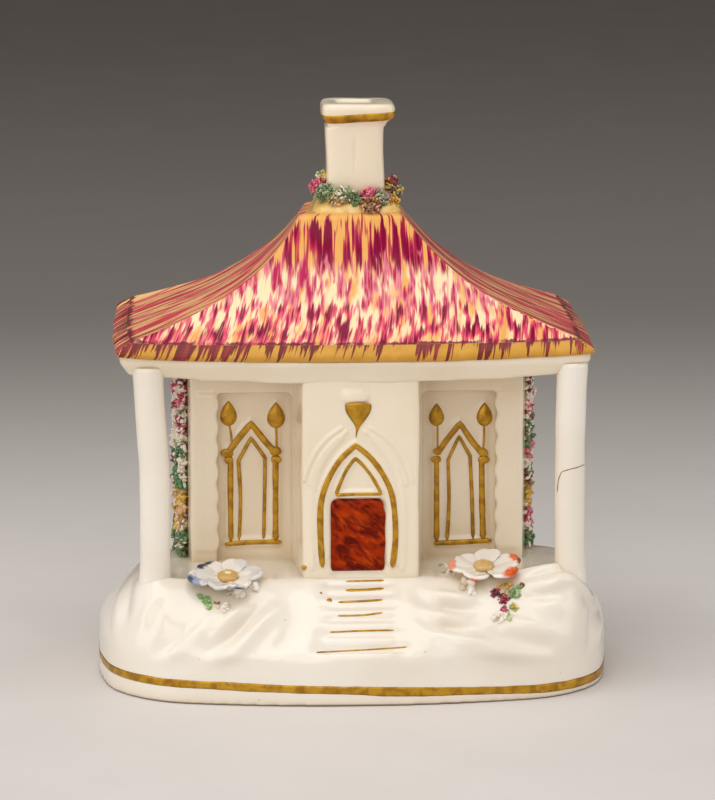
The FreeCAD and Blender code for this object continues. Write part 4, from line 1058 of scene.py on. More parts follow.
def make_house():
    """The walls under one skin of glaze, with the low relief that the gilding lies on."""
    piece = joined_copy("house_walls", HOUSE_WALLS)
    melt_together(piece, 0.4, 18)
    porch_low, porch_high = corners_mm("porch_wall")
    points = get_points(piece)
    quoin = (points[:, 1] < 0) & (points[:, 1] > -6.5) & (points[:, 2] > 26)
    for side in ("left", "right"):
        low, high = corners_mm(side + "_quoins")
        inner = high.x if side == "left" else low.x
        outward = -1 if side == "left" else 1
        near = quoin & (np.abs(points[:, 0] - inner) < 4.0)
        points[near, 0] += outward * 1.5 * (1 - np.abs(points[near, 0] - inner) / 4.0)
    at_top = points[:, 2] > porch_high.z - 1.2
    points[at_top, 2] += 1.3
    at_foot = points[:, 2] < porch_low.z + 1.5
    points[at_foot, 2] -= 1.4
    set_points(piece, points)
    for name in ("left_hood", "right_hood"):
        outward = -1 if name == "left_hood" else 1
        for offset in (-0.75, 0.75):
            path, widths = hand_drawn(from_pixels(DOORWAY[name], porch_low.y), 0.65, 40 + outward)
            path = [(a + outward * offset * 0.8, b + offset * 0.55) for a, b in path]
            add_to(piece, *ribbon(path, widths, flat_seat(porch_low.y, 0.4)))
    for name, width, height in (("left_border", 1.6, 0.35), ("right_border", 1.6, 0.35), ("arch", 2.9, 0.35),
                                ("overdoor", 2.0, 0.35), ("overdoor_sill", 2.0, 0.35)):
        add_to(piece, *doorway_part(name, width, height, porch_low.y, 21))
    middle = on_plane(CORBEL[0], CORBEL[1], porch_low.y)
    add_to(piece, *swelling(middle, CORBEL[2] / 2 / PIXELS_PER_MM, 0.7, CORBEL[3] / 2 / PIXELS_PER_MM))
    for side, strokes in (("left", LEFT_WINDOW), ("right", RIGHT_WINDOW)):
        _, high = corners_mm(side + "_window_surround")
        add_to(piece, *window_skirt(strokes, high.y))
    melt_together(piece, 0.3, 4, 0.42)
    points = get_points(piece)
    normals = get_normals(piece)
    uneven = soft_waves(points, 13.0, 5.0) * 0.2 + soft_waves(points, 5.0, 1.0) * 0.06
    set_points(piece, points + normals * uneven[:, None])
    finish_piece(piece, CREAM_GLAZE, HOUSE_WALLS + HOUSE_RELIEF)
    return porch_low.y


# Porch posts

def make_post(side):
    """A hand-rolled post, a little crooked, that spreads into the mound and into the eaves."""
    node = side + "_column"
    low, high = corners_mm(node)
    left = side == "left"
    x = (low.x + high.x) / 2
    y = (low.y + high.y) / 2
    radius = (high.x - low.x) / 2
    foot = low.z - 0.6
    head = high.z + 2.2
    rows, spokes = 60, 36
    vertices = []
    for row in range(rows + 1):
        share = row / rows
        z = foot + share * (head - foot)
        lean = -1.25 * smoothstep(0.45, 1.0, share) if left else -0.4 * math.sin(share * math.pi)
        spread = 0.35 * math.exp(-max(z - 25.0, 0.0) / 1.2)
        spread += 0.15 * math.exp(-max(high.z - z, 0.0) / 1.3)
        body = radius * (0.965 + 0.035 * wander(z, 3 if left else 4, 0.12)) + spread
        for spoke in range(spokes):
            angle = 2 * math.pi * spoke / spokes
            wave = 1 + 0.03 * noise.noise(Vector((math.cos(angle) * 1.3, math.sin(angle) * 1.3, z * 0.10)))
            vertices.append((x + lean + body * wave * math.cos(angle), y + body * wave * math.sin(angle), z))
    ends = [tuple(range(spokes - 1, -1, -1)), tuple(range(rows * spokes, (rows + 1) * spokes))]
    piece = new_object(side + "_post", vertices, ends + ring_faces(spokes, rows + 1))
    finish_piece(piece, GLAZE, [node])
    return piece


# Eaves and roof

def make_eaves():
    piece = joined_copy("eaves_slab", ["eave_slab"])
    melt_together(piece, 0.55, 8)
    points = get_points(piece)
    normals = get_normals(piece)
    uneven = soft_waves(points, 11.0, 2.0) * 0.3
    set_points(piece, points + normals * uneven[:, None])
    finish_piece(piece, CREAM_GLAZE, ["eave_slab"])


ROOF_TOP_HALF = Vector((10.3, 10.4))
# How much wider the top of the roof is than its hips say, and how far its middle stands off theirs.
ROOF_TOP_WIDER = 1.0
ROOF_TOP_OFFSET = Vector((1.25, -1.6))
ROOF_RISE = 16.0
ROOF_SWEEP = 11.3
ROOF_SHARES = [0, 0.02, 0.05, 0.09, 0.13, 0.17, 0.21, 0.25, 0.3, 0.35, 0.4, 0.45, 0.5, 0.55, 0.6, 0.65,
               0.7, 0.75, 0.79, 0.83, 0.87, 0.9, 0.925]


# How many points each level of the roof has along its long and short sides, and where its sides start.
LONG_STEPS, SHORT_STEPS = 120, 70
RING_SIZE = 2 * (LONG_STEPS + SHORT_STEPS)
SIDE_STARTS = [0, LONG_STEPS, LONG_STEPS + SHORT_STEPS, 2 * LONG_STEPS + SHORT_STEPS, RING_SIZE]
# How much each corner of the eaves turns up, by whether it is at the right and whether at the back.
CORNER_LIFTS = {(False, False): 0.7, (True, False): 0.5, (False, True): 1.7, (True, True): 1.0}
# The eaves' underside is a shallow dish, whose middle is this far back.
DISH_MIDDLE_Y = 5.6
DISH_RADIUS = 1300.0
# Half the size of the chimney's flue.
FLUE_X, FLUE_Y = 3.6, 2.9


def roof_ring(share, inset, height):
    """Points round one level of the roof."""
    low, high = corners_mm("roof_thatch")
    centre_y = (low.y + high.y) / 2
    half_x = (high.x - low.x) / 2 - 1.0
    half_y = (high.y - low.y) / 2 - 1.9
    near_top = (1 - share) ** 5
    wide = ROOF_TOP_HALF.x + share * (half_x - ROOF_TOP_HALF.x) - inset + ROOF_TOP_WIDER * near_top
    deep = ROOF_TOP_HALF.y + share * (half_y - ROOF_TOP_HALF.y) - inset
    centre = Vector((ROOF_TOP_OFFSET.x * (1 - share) + ROOF_TOP_OFFSET.y * near_top, centre_y))
    bow = 0.35 + 0.65 * share
    ring = []
    for side in range(4):
        steps = SHORT_STEPS if side % 2 else LONG_STEPS
        for step in range(steps):
            t = 2 * step / steps - 1
            t = math.sin(t * math.pi / 2) * 0.25 + t * 0.75
            if side % 2:
                x = wide + 0.9 * bow * (1 - t * t)
                y = t * deep
            else:
                x = t * wide
                y = -(deep + 1.9 * bow * (1 - t * t))
            if side >= 2:
                x, y = -x, -y
            x *= 1 - 0.20 * near_top * smoothstep(-deep, deep, y) * (x < 0)
            corner = (abs(x) / wide) ** 8 * (abs(y) / deep) ** 8 if share > 0 else 0.0
            lift = CORNER_LIFTS[(x > 0, y > 0)] * min(corner, 1.0) * share ** 4
            ring.append((x + centre.x, y + centre.y, height + lift))
    return ring


def slope_height(share):
    rise = 1 - share
    _, high = corners_mm("roof_thatch")
    eave = high.z - ROOF_RISE - ROOF_SWEEP
    return eave + ROOF_RISE * rise + ROOF_SWEEP * rise ** 4


def roof_levels():
    """The levels outside and inside the shell: the share of the way out, the inset and the height."""
    eave = slope_height(1.0)
    outside = [(share, 0.0, slope_height(share)) for share in ROOF_SHARES]
    outside += [(0.930, 0.0, slope_height(0.925) - 0.40), (0.950, 0.0, slope_height(0.95) - 0.45),
                (0.970, 0.0, slope_height(0.97) - 0.65), (0.988, 0.0, eave - 0.75),
                (1.0, 0.0, eave - 1.35), (1.0, 0.25, eave - 2.2), (1.0, 0.7, eave - 2.9),
                (1.0, 1.5, eave - 3.35), (1.0, 3.2, eave - 3.4)]
    inside = [(1.0, 3.6, eave - 3.4)]
    inside += [(share, 3.6, slope_height(share) - 3.0) for share in (1.0, 0.8, 0.6, 0.4, 0.2, 0.08)]
    return outside, inside


def roof_rings(levels, outer_count):
    """The points of all levels, and for each how far it lies down the slope."""
    vertices, lengths = [], []
    down = np.zeros(RING_SIZE)
    before = None
    for place, (share, inset, height) in enumerate(levels):
        ring = np.array(roof_ring(share, inset, height))
        if share == 1.0:
            turned = 1.0 if place >= outer_count - 2 else min(inset / 1.5, 1.0)
            radius = np.hypot(ring[:, 0], ring[:, 1] - DISH_MIDDLE_Y)
            ring[:, 2] += radius ** 2 / DISH_RADIUS * turned * 0.6
        if before is not None:
            travelled = np.linalg.norm(ring - before, axis=1)
            for first, last in zip(SIDE_STARTS, SIDE_STARTS[1:]):
                down[first:last] += travelled[(first + last) // 2]
        before = ring
        vertices += [tuple(point) for point in ring]
        lengths.append(down.copy())
    return vertices, lengths


def roof_faces(count):
    """The shell's faces, and the side of the roof that each lies on."""
    faces, sides = [], []
    for level in range(count - 1):
        for step in range(RING_SIZE):
            after = (step + 1) % RING_SIZE
            first = level * RING_SIZE
            faces.append((first + step, first + RING_SIZE + step, first + RING_SIZE + after, first + after))
            sides.append(next(side for side in range(4) if SIDE_STARTS[side] <= step < SIDE_STARTS[side + 1]))
    return faces, sides


def add_flue_hole(vertices, faces, sides, last, heights):
    """Close the shell's inside to its top round the chimney's flue."""
    flue_low, flue_high = corners_mm("chimney_stack")
    centre = ((flue_low.x + flue_high.x) / 2, (flue_low.y + flue_high.y) / 2)
    start = len(vertices)
    for height in heights:
        for step in range(RING_SIZE):
            angle = math.atan2(vertices[last + step][1] - centre[1], vertices[last + step][0] - centre[0])
            reach = 1 / max(abs(math.cos(angle)) / FLUE_X, abs(math.sin(angle)) / FLUE_Y)
            x, y = reach * math.cos(angle), reach * math.sin(angle)
            vertices.append((centre[0] + x, centre[1] + y, height))
    for step in range(RING_SIZE):
        after = (step + 1) % RING_SIZE
        faces.append((last + step, start + step, start + after, last + after))
        faces.append((start + step, start + RING_SIZE + step, start + RING_SIZE + after, start + after))
        faces.append((start + RING_SIZE + step, step, after, start + RING_SIZE + after))
        sides += [0, 0, 0]


def lay_brushwork(piece, lengths, sides, outer_count):
    """Keep on the mesh where each corner lies across and down the slope, and how far past the ledge."""
    layer = piece.data.attributes.new("brush", "FLOAT_VECTOR", "CORNER")
    values = np.zeros((len(piece.data.loops), 3), np.float32)
    points = get_points(piece)
    for polygon, side in zip(piece.data.polygons, sides):
        level = max(lengths[index] for index in polygon.vertices)
        shallow = min(index for index in polygon.vertices)
        for loop in polygon.loop_indices:
            index = piece.data.loops[loop].vertex_index
            other_side = shallow // RING_SIZE != index // RING_SIZE
            reach = level if other_side else min(lengths[index] for index in polygon.vertices)
            x, y = points[index][0], points[index][1]
            fan = 1 - 0.0035 * reach
            if side % 2:
                values[loop] = (y * fan + (120 if side == 1 else 220), reach, 1.0)
            else:
                lean = 0.005 * max(reach - 12, 0) ** 2
                values[loop] = (x * fan + lean + (320 if side == 2 else 0), reach, 0.0)
    layer.data.foreach_set("vector", values.ravel())
    beyond = piece.data.attributes.new("eave", "FLOAT", "POINT")
    ledge = len(ROOF_SHARES) - 1
    level_of = np.arange(len(piece.data.vertices)) // RING_SIZE
    past = np.where(level_of < outer_count, np.maximum(level_of - ledge, -4), 9.0)
    beyond.data.foreach_set("value", past.astype(np.float32))


def make_roof():
    """The hollow swept roof, from the flue down the slopes, over the eaves and back up inside."""
    _, high = corners_mm("roof_thatch")
    outside, inside = roof_levels()
    levels = outside + inside
    vertices, lengths = roof_rings(levels, len(outside))
    faces, sides = roof_faces(len(levels))
    add_flue_hole(vertices, faces, sides, (len(levels) - 1) * RING_SIZE, (levels[-1][2], high.z))
    piece = new_object("thatched_roof", vertices, faces)
    lengths = np.concatenate(lengths + [np.zeros(2 * RING_SIZE)])
    lay_brushwork(piece, lengths, sides, len(outside))
    round_off(piece)
    points = get_points(piece)
    normals = get_normals(piece)
    uneven = soft_waves(points, 12.0, 9.0) * 0.22 + soft_waves(points, 4.0, 2.5) * 0.05
    set_points(piece, points + normals * uneven[:, None])
    finish_piece(piece, ROOF, ["roof_thatch"])


# Chimney

def square_ring(centre, half_x, half_y, corner, z, spokes=72):
    """Points round a rectangle with round corners."""
    ring = []
    for spoke in range(spokes):
        angle = 2 * math.pi * spoke / spokes
        c, s = math.cos(angle), math.sin(angle)
        power = 2 / max(corner, 0.05)
        reach = (abs(c) ** power + abs(s) ** power) ** (-1 / power)
        ring.append((centre[0] + half_x * reach * c, centre[1] + half_y * reach * s, z))
    return ring


def stack_rings(rings):
    """A closed form through a list of rings, the last joined to the first."""
    return [point for ring in rings for point in ring], ring_faces(len(rings[0]), len(rings), closed=True)


def make_chimney():
    low, high = corners_mm("chimney_stack")
    cap_low, cap_high = corners_mm("chimney_cap")
    centre = ((low.x + high.x) / 2, (low.y + high.y) / 2)
    half_x, half_y = 6.55, 5.6
    rings = []
    for share in (0, 0.06, 0.14, 0.24, 0.35, 0.5, 0.65, 0.8, 0.9, 1.0):
        z = low.z + share * (high.z - low.z)
        flare = 0.9 * math.exp(-share * 9)
        waist = -0.12 * math.sin(math.pi * share)
        shift = 0.15 * math.sin(share * 4) - 0.35
        rings.append(square_ring((centre[0] + shift, centre[1]), half_x + flare + waist,
                                 half_y + flare + waist, 0.28, z))
    cap_centre = ((cap_low.x + cap_high.x) / 2, (cap_low.y + cap_high.y) / 2)
    wide, deep = (cap_high.x - cap_low.x) / 2, (cap_high.y - cap_low.y) / 2
    tall = cap_high.z - cap_low.z
    cap = ((0.0, 0.00), (0.10, 0.08), (0.22, 0.30), (0.32, 0.70), (0.40, 0.93), (0.52, 1.0), (0.72, 1.0),
           (0.84, 0.93), (0.93, 0.72), (0.985, 0.36))
    for rise, out in cap:
        z = cap_low.z + rise * tall
        x = centre[0] + (cap_centre[0] - centre[0]) * out
        half_w = half_x + (wide - half_x) * out
        half_d = half_y + (deep - half_y) * out
        rings.append(square_ring((x, centre[1]), half_w, half_d, 0.36, z))
    for rise, grow, drift in ((0.99, 0.9, -0.6), (0.95, 0.35, -0.5), (0.86, 0.05, -0.3), (0.7, 0.0, 0.0)):
        z = cap_low.z + rise * tall
        rings.append(square_ring((centre[0] + drift, centre[1]), FLUE_X + grow, FLUE_Y + grow, 0.5, z))
    rings.append(square_ring(centre, FLUE_X, FLUE_Y, 0.5, low.z))
    vertices, faces = stack_rings(rings)
    piece = new_object("chimney", vertices, faces)
    tidy_normals(piece)
    round_off(piece, 2)
    points = get_points(piece)
    normals = get_normals(piece)
    lift = soft_waves(points, 6.0, 4.0) * 0.12
    crease_x = centre[0] - 0.3 - 0.02 * (points[:, 2] - 116)
    crease = np.exp(-((points[:, 0] - crease_x) / 0.5) ** 2) * smoothstep(112, 116, points[:, 2])
    crease *= smoothstep(121.8, 119.5, points[:, 2]) * (points[:, 1] < centre[1])
    lift -= 0.20 * crease
    set_points(piece, points + normals * lift[:, None])
    finish_piece(piece, CREAM_GLAZE, ["chimney_stack", "chimney_cap"])
    make_cap_band(tree_of(piece), centre, cap_low, tall)


def make_cap_band(tree, centre, cap_low, tall):
    """A painted gold line round the chimney's head, higher on the right."""
    def seat(angle, z, dome):
        outward = Vector((math.cos(angle), math.sin(angle), 0))
        start = Vector((centre[0], centre[1], z)) + outward * 14
        hit, _, _, _ = tree.ray_cast(start, -outward)
        return tuple(hit + outward * (0.10 * dome if dome >= 0 else -0.25))

    band = []
    widths = []
    spokes = 96
    for spoke in range(spokes + 1):
        angle = 2 * math.pi * spoke / spokes
        middle = cap_low.z + tall * 0.40 + 0.45 * math.cos(angle)
        band.append((angle, middle + 0.10 * wander(math.cos(angle) * 5, 6, 0.5)))
        widths.append(1.9 + 0.35 * wander(math.sin(angle) * 6 + 3, 8, 0.6))
    gild("chimney_gilding", around(band, widths, seat, 8))


def around(band, widths, seat, span):
    """A closed painted band: each place is an angle or a length, with its height."""
    vertices = []
    for (a, b), width in zip(band[:-1], widths):
        for step in range(span + 1):
            share = 2 * step / span - 1
            vertices.append(seat(a, b + share * width / 2, math.sqrt(max(1 - share * share, 0.0)) ** 0.5))
        for step in range(span - 1, 0, -1):
            share = 2 * step / span - 1
            vertices.append(seat(a, b + share * width / 2, -1.0))
    return vertices, ring_faces(2 * span, len(band) - 1, closed=True)


# The collar round the chimney's foot: how far up, and how far out from its solid in millimetres.
COLLAR_PROFILE = ((-0.3, 0.5), (0.0, 0.35), (0.25, -0.1), (0.5, -0.5), (0.75, -1.1), (0.95, -2.0),
                  (1.0, -3.0))


def make_collar():
    low, high = corners_mm("chimney_collar")
    centre = ((low.x + high.x) / 2, (low.y + high.y) / 2)
    half_x, half_y = (high.x - low.x) / 2, (high.y - low.y) / 2
    tall = high.z - low.z
    rings = []
    for rise, out in COLLAR_PROFILE:
        rings.append(square_ring(centre, half_x + out, half_y + out, 0.34, low.z + rise * tall))
    rings.append(square_ring(centre, 6.4, 5.8, 0.3, low.z + 0.9 * tall))
    rings.append(square_ring(centre, 6.4, 5.8, 0.3, low.z))
    vertices, faces = stack_rings(rings)
    piece = new_object("chimney_cushion", vertices, faces)
    tidy_normals(piece)
    round_off(piece)
    points = get_points(piece)
    normals = get_normals(piece)
    lift = soft_waves(points, 3.5, 7.0) * 0.35
    set_points(piece, points + normals * lift[:, None])
    finish_piece(piece, OCHRE, ["chimney_collar"])


# Gilding on the base

def make_base_band(tree):
    low, high = corners_mm("base_mound")
    centre = (low + high) / 2

    def seat(angle, z, dome):
        outward = Vector((math.cos(angle), math.sin(angle) * 0.72, 0)).normalized()
        start = Vector((centre.x, centre.y, z)) + outward * 90
        hit, normal, _, _ = tree.ray_cast(start, -outward)
        return tuple(hit + normal * (0.09 * dome if dome >= 0 else -0.25))

    band, widths = [], []
    spokes = 300
    for spoke in range(spokes + 1):
        angle = 2 * math.pi * spoke / spokes
        x = high.x * math.cos(angle)
        front = 0.5 - 0.5 * math.sin(angle)
        slope = 3.45 - 0.031 * x * (0.35 + 0.65 * front)
        band.append((angle, slope + 0.28 * wander(x, 2.0 + (math.sin(angle) > 0), 0.055)
                     + 0.07 * wander(x, 5.0, 0.6)))
        widths.append(1.95 + 0.42 * wander(x, 9.0, 0.07) + 0.16 * wander(x, 12.0, 0.5))
    widths[-1] = widths[0]
    gild("base_gilding", around(band, widths, seat, 6))


# Gilt lines on the steps, in photograph pixels, with their widths in millimetres.
STEP_LINES = {
    "sill": ([(346, 581.4), (365, 580.9), (384, 580.4)], 0.42),
    "first": ([(345.5, 590.4), (366, 589.8), (384, 588.4)], 0.62),
    "second": ([(338, 602.2), (362, 601.2), (383, 599.8)], 0.52),
    "third": ([(337.5, 615.8), (362, 615.2), (382.6, 612.6)], 0.44),
    "fourth": ([(330, 632.2), (362, 630.8), (394, 630.2)], 0.42),
    "fifth": ([(316, 652.4), (362, 650.0), (407, 647)], 0.34),
}
GOLD_DROPS = {"by_porch": (304, 568, 1.15), "by_step": (321, 593, 0.75), "below_step": (329.5, 599.5, 1.35)}


def pixel_seat(tree, height):
    """A seat for strokes whose places are photograph pixels on a surface."""
    def seat(u, v, dome):
        point, normal = on_surface(u, v, tree)
        return tuple(point + normal * (height * dome if dome >= 0 else -0.25))
    return seat


def make_step_lines(tree):
    parts = []
    for seed, (line, width) in enumerate(STEP_LINES.values()):
        path, widths = hand_drawn(line, width * PIXELS_PER_MM, seed + 60, taper=1.5, spacing=14)
        parts.append(ribbon(path, widths, pixel_seat(tree, 0.07)))
    gild("step_gilding", gather(parts))


# Dark pinholes in the glaze: photograph pixel and width in millimetres.
PINHOLES = [(259, 700, 0.45), (285, 620, 0.40), (199, 659, 0.30), (425, 652, 0.40), (561, 673, 0.30),
            (534, 561, 0.7), (541, 557, 0.6), (530, 553, 0.9), (548, 552, 0.8)]


def bead(point, normal, width, height):
    """A small round drop that sits on a surface."""
    spokes, rows = 14, 5
    side = normal.orthogonal().normalized()
    other = normal.cross(side)
    vertices = []
    for row in range(rows):
        share = row / rows
        for spoke in range(spokes):
            angle = 2 * math.pi * spoke / spokes
            reach = width / 2 * (1 - share) * (1 + 0.12 * math.sin(3 * angle))
            up = height * math.sqrt(share * (2 - share)) - 0.1
            vertices.append(tuple(point + side * reach * math.cos(angle) + other * reach * math.sin(angle)
                                  + normal * up))
    vertices.append(tuple(point + normal * (height - 0.1)))
    faces = [tuple(range(spokes))] + ring_faces(spokes, rows)
    last = (rows - 1) * spokes
    for spoke in range(spokes):
        faces.append((last + spoke, last + (spoke + 1) % spokes, rows * spokes))
    return vertices, faces


def make_drops(mound_tree, porch_y):
    parts = []
    for name, (u, v, width) in GOLD_DROPS.items():
        if name == "by_porch":
            point, normal = on_plane(u, v, porch_y), Vector((0, -1, 0))
        else:
            point, normal = on_surface(u, v, mound_tree)
        parts.append(bead(point, normal, width, 0.2))
    gild("gilding_drops", gather(parts))


def make_pinholes(mound_tree):
    parts = [bead(*on_surface(u, v, mound_tree), width, 0.13) for u, v, width in PINHOLES]
    vertices, faces = gather(parts)
    piece = new_object("glaze_pinholes", vertices, faces)
    tidy_normals(piece)
    finish_piece(piece, KILN_DIRT)


# The old break across the right post, in photograph pixels down its two arms.
POST_CRACK = {"across": [(584.5, 464.5), (577, 467.5), (569, 469.5), (561.5, 472)],
              "down": [(561.5, 472), (558.5, 480), (557.2, 492)]}


def make_crack(post):
    tree = tree_of(post)
    parts = []
    for seed, line in enumerate(POST_CRACK.values()):
        path, widths = hand_drawn(line, 0.24 * PIXELS_PER_MM, seed + 80, taper=1.2, spacing=10)
        parts.append(ribbon(path, widths, pixel_seat(tree, 0.03)))
    vertices, faces = gather(parts)
    piece = new_object("post_crack", vertices, faces)
    tidy_normals(piece)
    finish_piece(piece, KILN_DIRT)


# Flowers

WHITE = (0.86, 0.80, 0.72)
CREAM = (0.80, 0.66, 0.48)
NAVY = (0.018, 0.026, 0.085)
BLUE = (0.20, 0.29, 0.47)
SCARLET = (0.80, 0.095, 0.002)
RUST = (0.26, 0.03, 0.008)


PETAL_HALF_ANGLE = math.radians(33)
PETAL_ROOT = 1.2
PETAL_THICKNESS = 0.75


def petal(angle, reach, cup, seed):
    """One rounded petal with a furrow, as points and faces. Its foot is under the eye."""
    long_steps, wide_steps = 16, 14
    top, under = [], []
    for step in range(long_steps + 1):
        r = step / long_steps
        for across in range(wide_steps + 1):
            a = 2 * across / wide_steps - 1
            ruffle = noise.noise(Vector((a * 1.3, r * 1.6, seed)))
            length = reach * (1 - 0.06 * a * a - 0.20 * a ** 4 + 0.09 * ruffle)
            out = PETAL_ROOT + r * (length - PETAL_ROOT)
            turn = angle + a * PETAL_HALF_ANGLE
            puff = 0.46 * r * (1 - (2 * abs(a) - 1) ** 2)
            z = cup * r ** 2 + puff + 0.42 * ruffle * r - 0.55 * smoothstep(0.86, 1.0, r)
            x, y = out * math.cos(turn), out * math.sin(turn)
            top.append((x, y, z))
            under.append((x * 0.985, y * 0.985, z - PETAL_THICKNESS * (0.45 + 0.55 * (1 - abs(a) ** 3))))
    size = wide_steps + 1
    count = len(top)
    faces = []
    for step in range(long_steps):
        for across in range(wide_steps):
            first = step * size + across
            faces.append((first, first + size, first + size + 1, first + 1))
            faces.append((count + first, count + first + 1, count + first + size + 1, count + first + size))
    loop = ([across for across in range(size)]
            + [step * size + wide_steps for step in range(1, long_steps + 1)]
            + [long_steps * size + across for across in range(wide_steps - 1, -1, -1)]
            + [step * size for step in range(long_steps - 1, 0, -1)])
    for place, index in enumerate(loop):
        after = loop[(place + 1) % len(loop)]
        faces.append((index, after, count + after, count + index))
    return top + under, faces


# The petals: the angle in degrees from +X and the length in millimetres.
PETALS = {
    "left": [(14, 7.7), (74, 7.2), (132, 8.3), (190, 9.1), (243, 6.4), (300, 7.0)],
    "right": [(22, 8.5), (78, 7.4), (136, 7.4), (188, 8.0), (247, 7.2), (318, 8.5)],
}
# Brush marks on the petals, in photograph pixels: the middle, half the length and width, the turn in
# degrees, the colour and how strong it is.
MARKS = {
    "left": [(250, 565, 15, 7, 20, BLUE, 0.25), (214, 586, 13, 6, 25, BLUE, 0.30),
             (204, 574, 12, 6, 10, BLUE, 0.2), (256, 578, 9, 8, 60, BLUE, 0.18),
             (192, 582, 9.5, 7.0, 20, BLUE, 0.9), (232, 590, 8.0, 4.6, -10, BLUE, 0.7),
             (203, 563.0, 11.0, 4.0, -24, NAVY, 1.0), (188, 581, 5.0, 5.0, 60, NAVY, 0.85),
             (237.5, 591.0, 7.0, 4.6, -20, NAVY, 1.0)],
    "right": [(514.5, 555.5, 9.0, 4.4, 42, SCARLET, 0.95), (519.5, 560.5, 4.2, 2.4, 65, RUST, 0.9),
              (513, 572, 9.5, 5.0, -14, SCARLET, 1.0), (516.5, 573, 5.0, 3.4, -20, RUST, 0.6),
              (471, 580.5, 9.0, 2.7, 4, SCARLET, 0.95), (466.5, 581, 3.4, 3.0, 0, SCARLET, 0.95),
              (451, 565, 5.0, 6.6, 10, SCARLET, 0.72)],
}
MARK_SIZE = 1.25
# How far each flower stands from its solid, in millimetres to the right and up.
FLOWER_SHIFT = {"left": (0.55, 0.55), "right": (0.2, 0.9)}


def brush_marks(points, side):
    """The petals' colours: white glaze with the painter's few touches."""
    colours = np.tile(np.array(WHITE), (len(points), 1))
    u, v = pixels_of(points)
    ragged = soft_waves(points, 0.9, 2.0) * 0.35
    for middle_u, middle_v, half_long, half_wide, turn, colour, strength in MARKS[side]:
        c, s = math.cos(math.radians(turn)), math.sin(math.radians(turn))
        along = ((u - middle_u) * c + (v - middle_v) * s) / half_long
        across = ((v - middle_v) * c - (u - middle_u) * s) / half_wide
        amount = strength * (1 - smoothstep(0.62, 1.02, np.hypot(along, across) / MARK_SIZE + ragged))
        colours += (np.array(colour) - colours) * amount[:, None]
    return colours


def flower_frame(side):
    """Where a flower sits, and how it leans to the front."""
    low, high = corners_mm(side + "_flower_eye")
    centre = (low + high) / 2
    lean = 15 if side == "left" else 13
    turn = Matrix.Rotation(math.radians(lean), 4, "X")
    right, up = FLOWER_SHIFT[side]
    return Matrix.Translation((centre.x + right, centre.y, low.z - 0.7 + up)) @ turn


def make_flower(side):
    place = flower_frame(side)
    parts = []
    for seed, (angle, reach) in enumerate(PETALS[side]):
        points, polygons = petal(math.radians(angle), reach, 1.2, seed * 1.9)
        lifted = 0.28 * (seed % 2)
        parts.append(([tuple(place @ Vector((x, y, z + lifted))) for x, y, z in points], polygons))
    vertices, faces = gather(parts)
    piece = new_object(side + "_blossom", vertices, faces)
    tidy_normals(piece)
    round_off(piece)
    paint(piece, brush_marks(get_points(piece), side))
    finish_piece(piece, PETAL, [side + "_flower"])
    make_eye(side, place)


EYE_OCHRE = (0.60, 0.36, 0.10)
EYE_HIGHLIGHT_AND_STIPPLE = (0.93, 0.78, 0.5)
EYE_RADIUS = 2.35


def make_eye(side, place):
    """The flower's stippled eye, with a painted highlight on the middle of the left one and pale stipple on
    the right one.
    """
    rows, spokes = 12, 40
    vertices, colours = [], []
    for row in range(rows + 1):
        share = row / rows
        for spoke in range(spokes):
            angle = 2 * math.pi * spoke / spokes
            reach = EYE_RADIUS * (1 - share) * (1 + 0.04 * math.sin(5 * angle))
            bump = 0.16 * noise.noise(Vector((reach * math.cos(angle), reach * math.sin(angle), 3.0)) * 2.6)
            z = 0.75 + 0.85 * math.sqrt(share * (2 - share)) + bump - (0.5 if row == 0 else 0)
            vertices.append(tuple(place @ Vector((reach * math.cos(angle), reach * math.sin(angle), z))))
            # On the left eye the top of the dome is painted pale as a highlight; on the right, pale stipple
            # at random.
            pale = smoothstep(0.58, 0.80, share) if side == "left" else 0.25 * (noise.noise(
                Vector((angle, share * 3, 1.0))) + 0.5)
            colours.append(tuple(o + (c - o) * float(pale) for o, c in zip(EYE_OCHRE, EYE_HIGHLIGHT_AND_STIPPLE)))
    piece = new_object(side + "_blossom_eye", vertices, [tuple(range(spokes))] + ring_faces(spokes, rows + 1))
    tidy_normals(piece)
    paint(piece, np.array(colours))
    finish_piece(piece, MOSS, [side + "_flower_eye"])


# Shredded clay: moss, florets and garlands

GREEN = (0.15, 0.21, 0.08)
LEAF_GREEN = (0.10, 0.25, 0.10)
FRESH_GREEN = (0.19, 0.38, 0.11)
PALE_GREEN = (0.42, 0.56, 0.26)
GREY_GREEN = (0.34, 0.42, 0.25)
YELLOW = (0.72, 0.44, 0.07)
OCHRE_DARK = (0.42, 0.24, 0.05)
PINK = (0.72, 0.16, 0.24)
MAGENTA = (0.48, 0.02, 0.10)
WINE = (0.16, 0.012, 0.035)
BROWN = (0.24, 0.10, 0.04)
PEACH = (0.82, 0.50, 0.26)
SHRED = (0.82, 0.74, 0.62)

# Finer and more shreds than the bunches' lists say.
SHRED_COUNT = 1.7
SHRED_SIZE = 0.78

def crumb_form():
    """A small lump that every shred starts from."""
    bm = bmesh.new()
    bmesh.ops.create_icosphere(bm, subdivisions=1, radius=1.0)
    form = ([v.co.copy() for v in bm.verts], [tuple(v.index for v in f.verts) for f in bm.faces])
    bm.free()
    return form


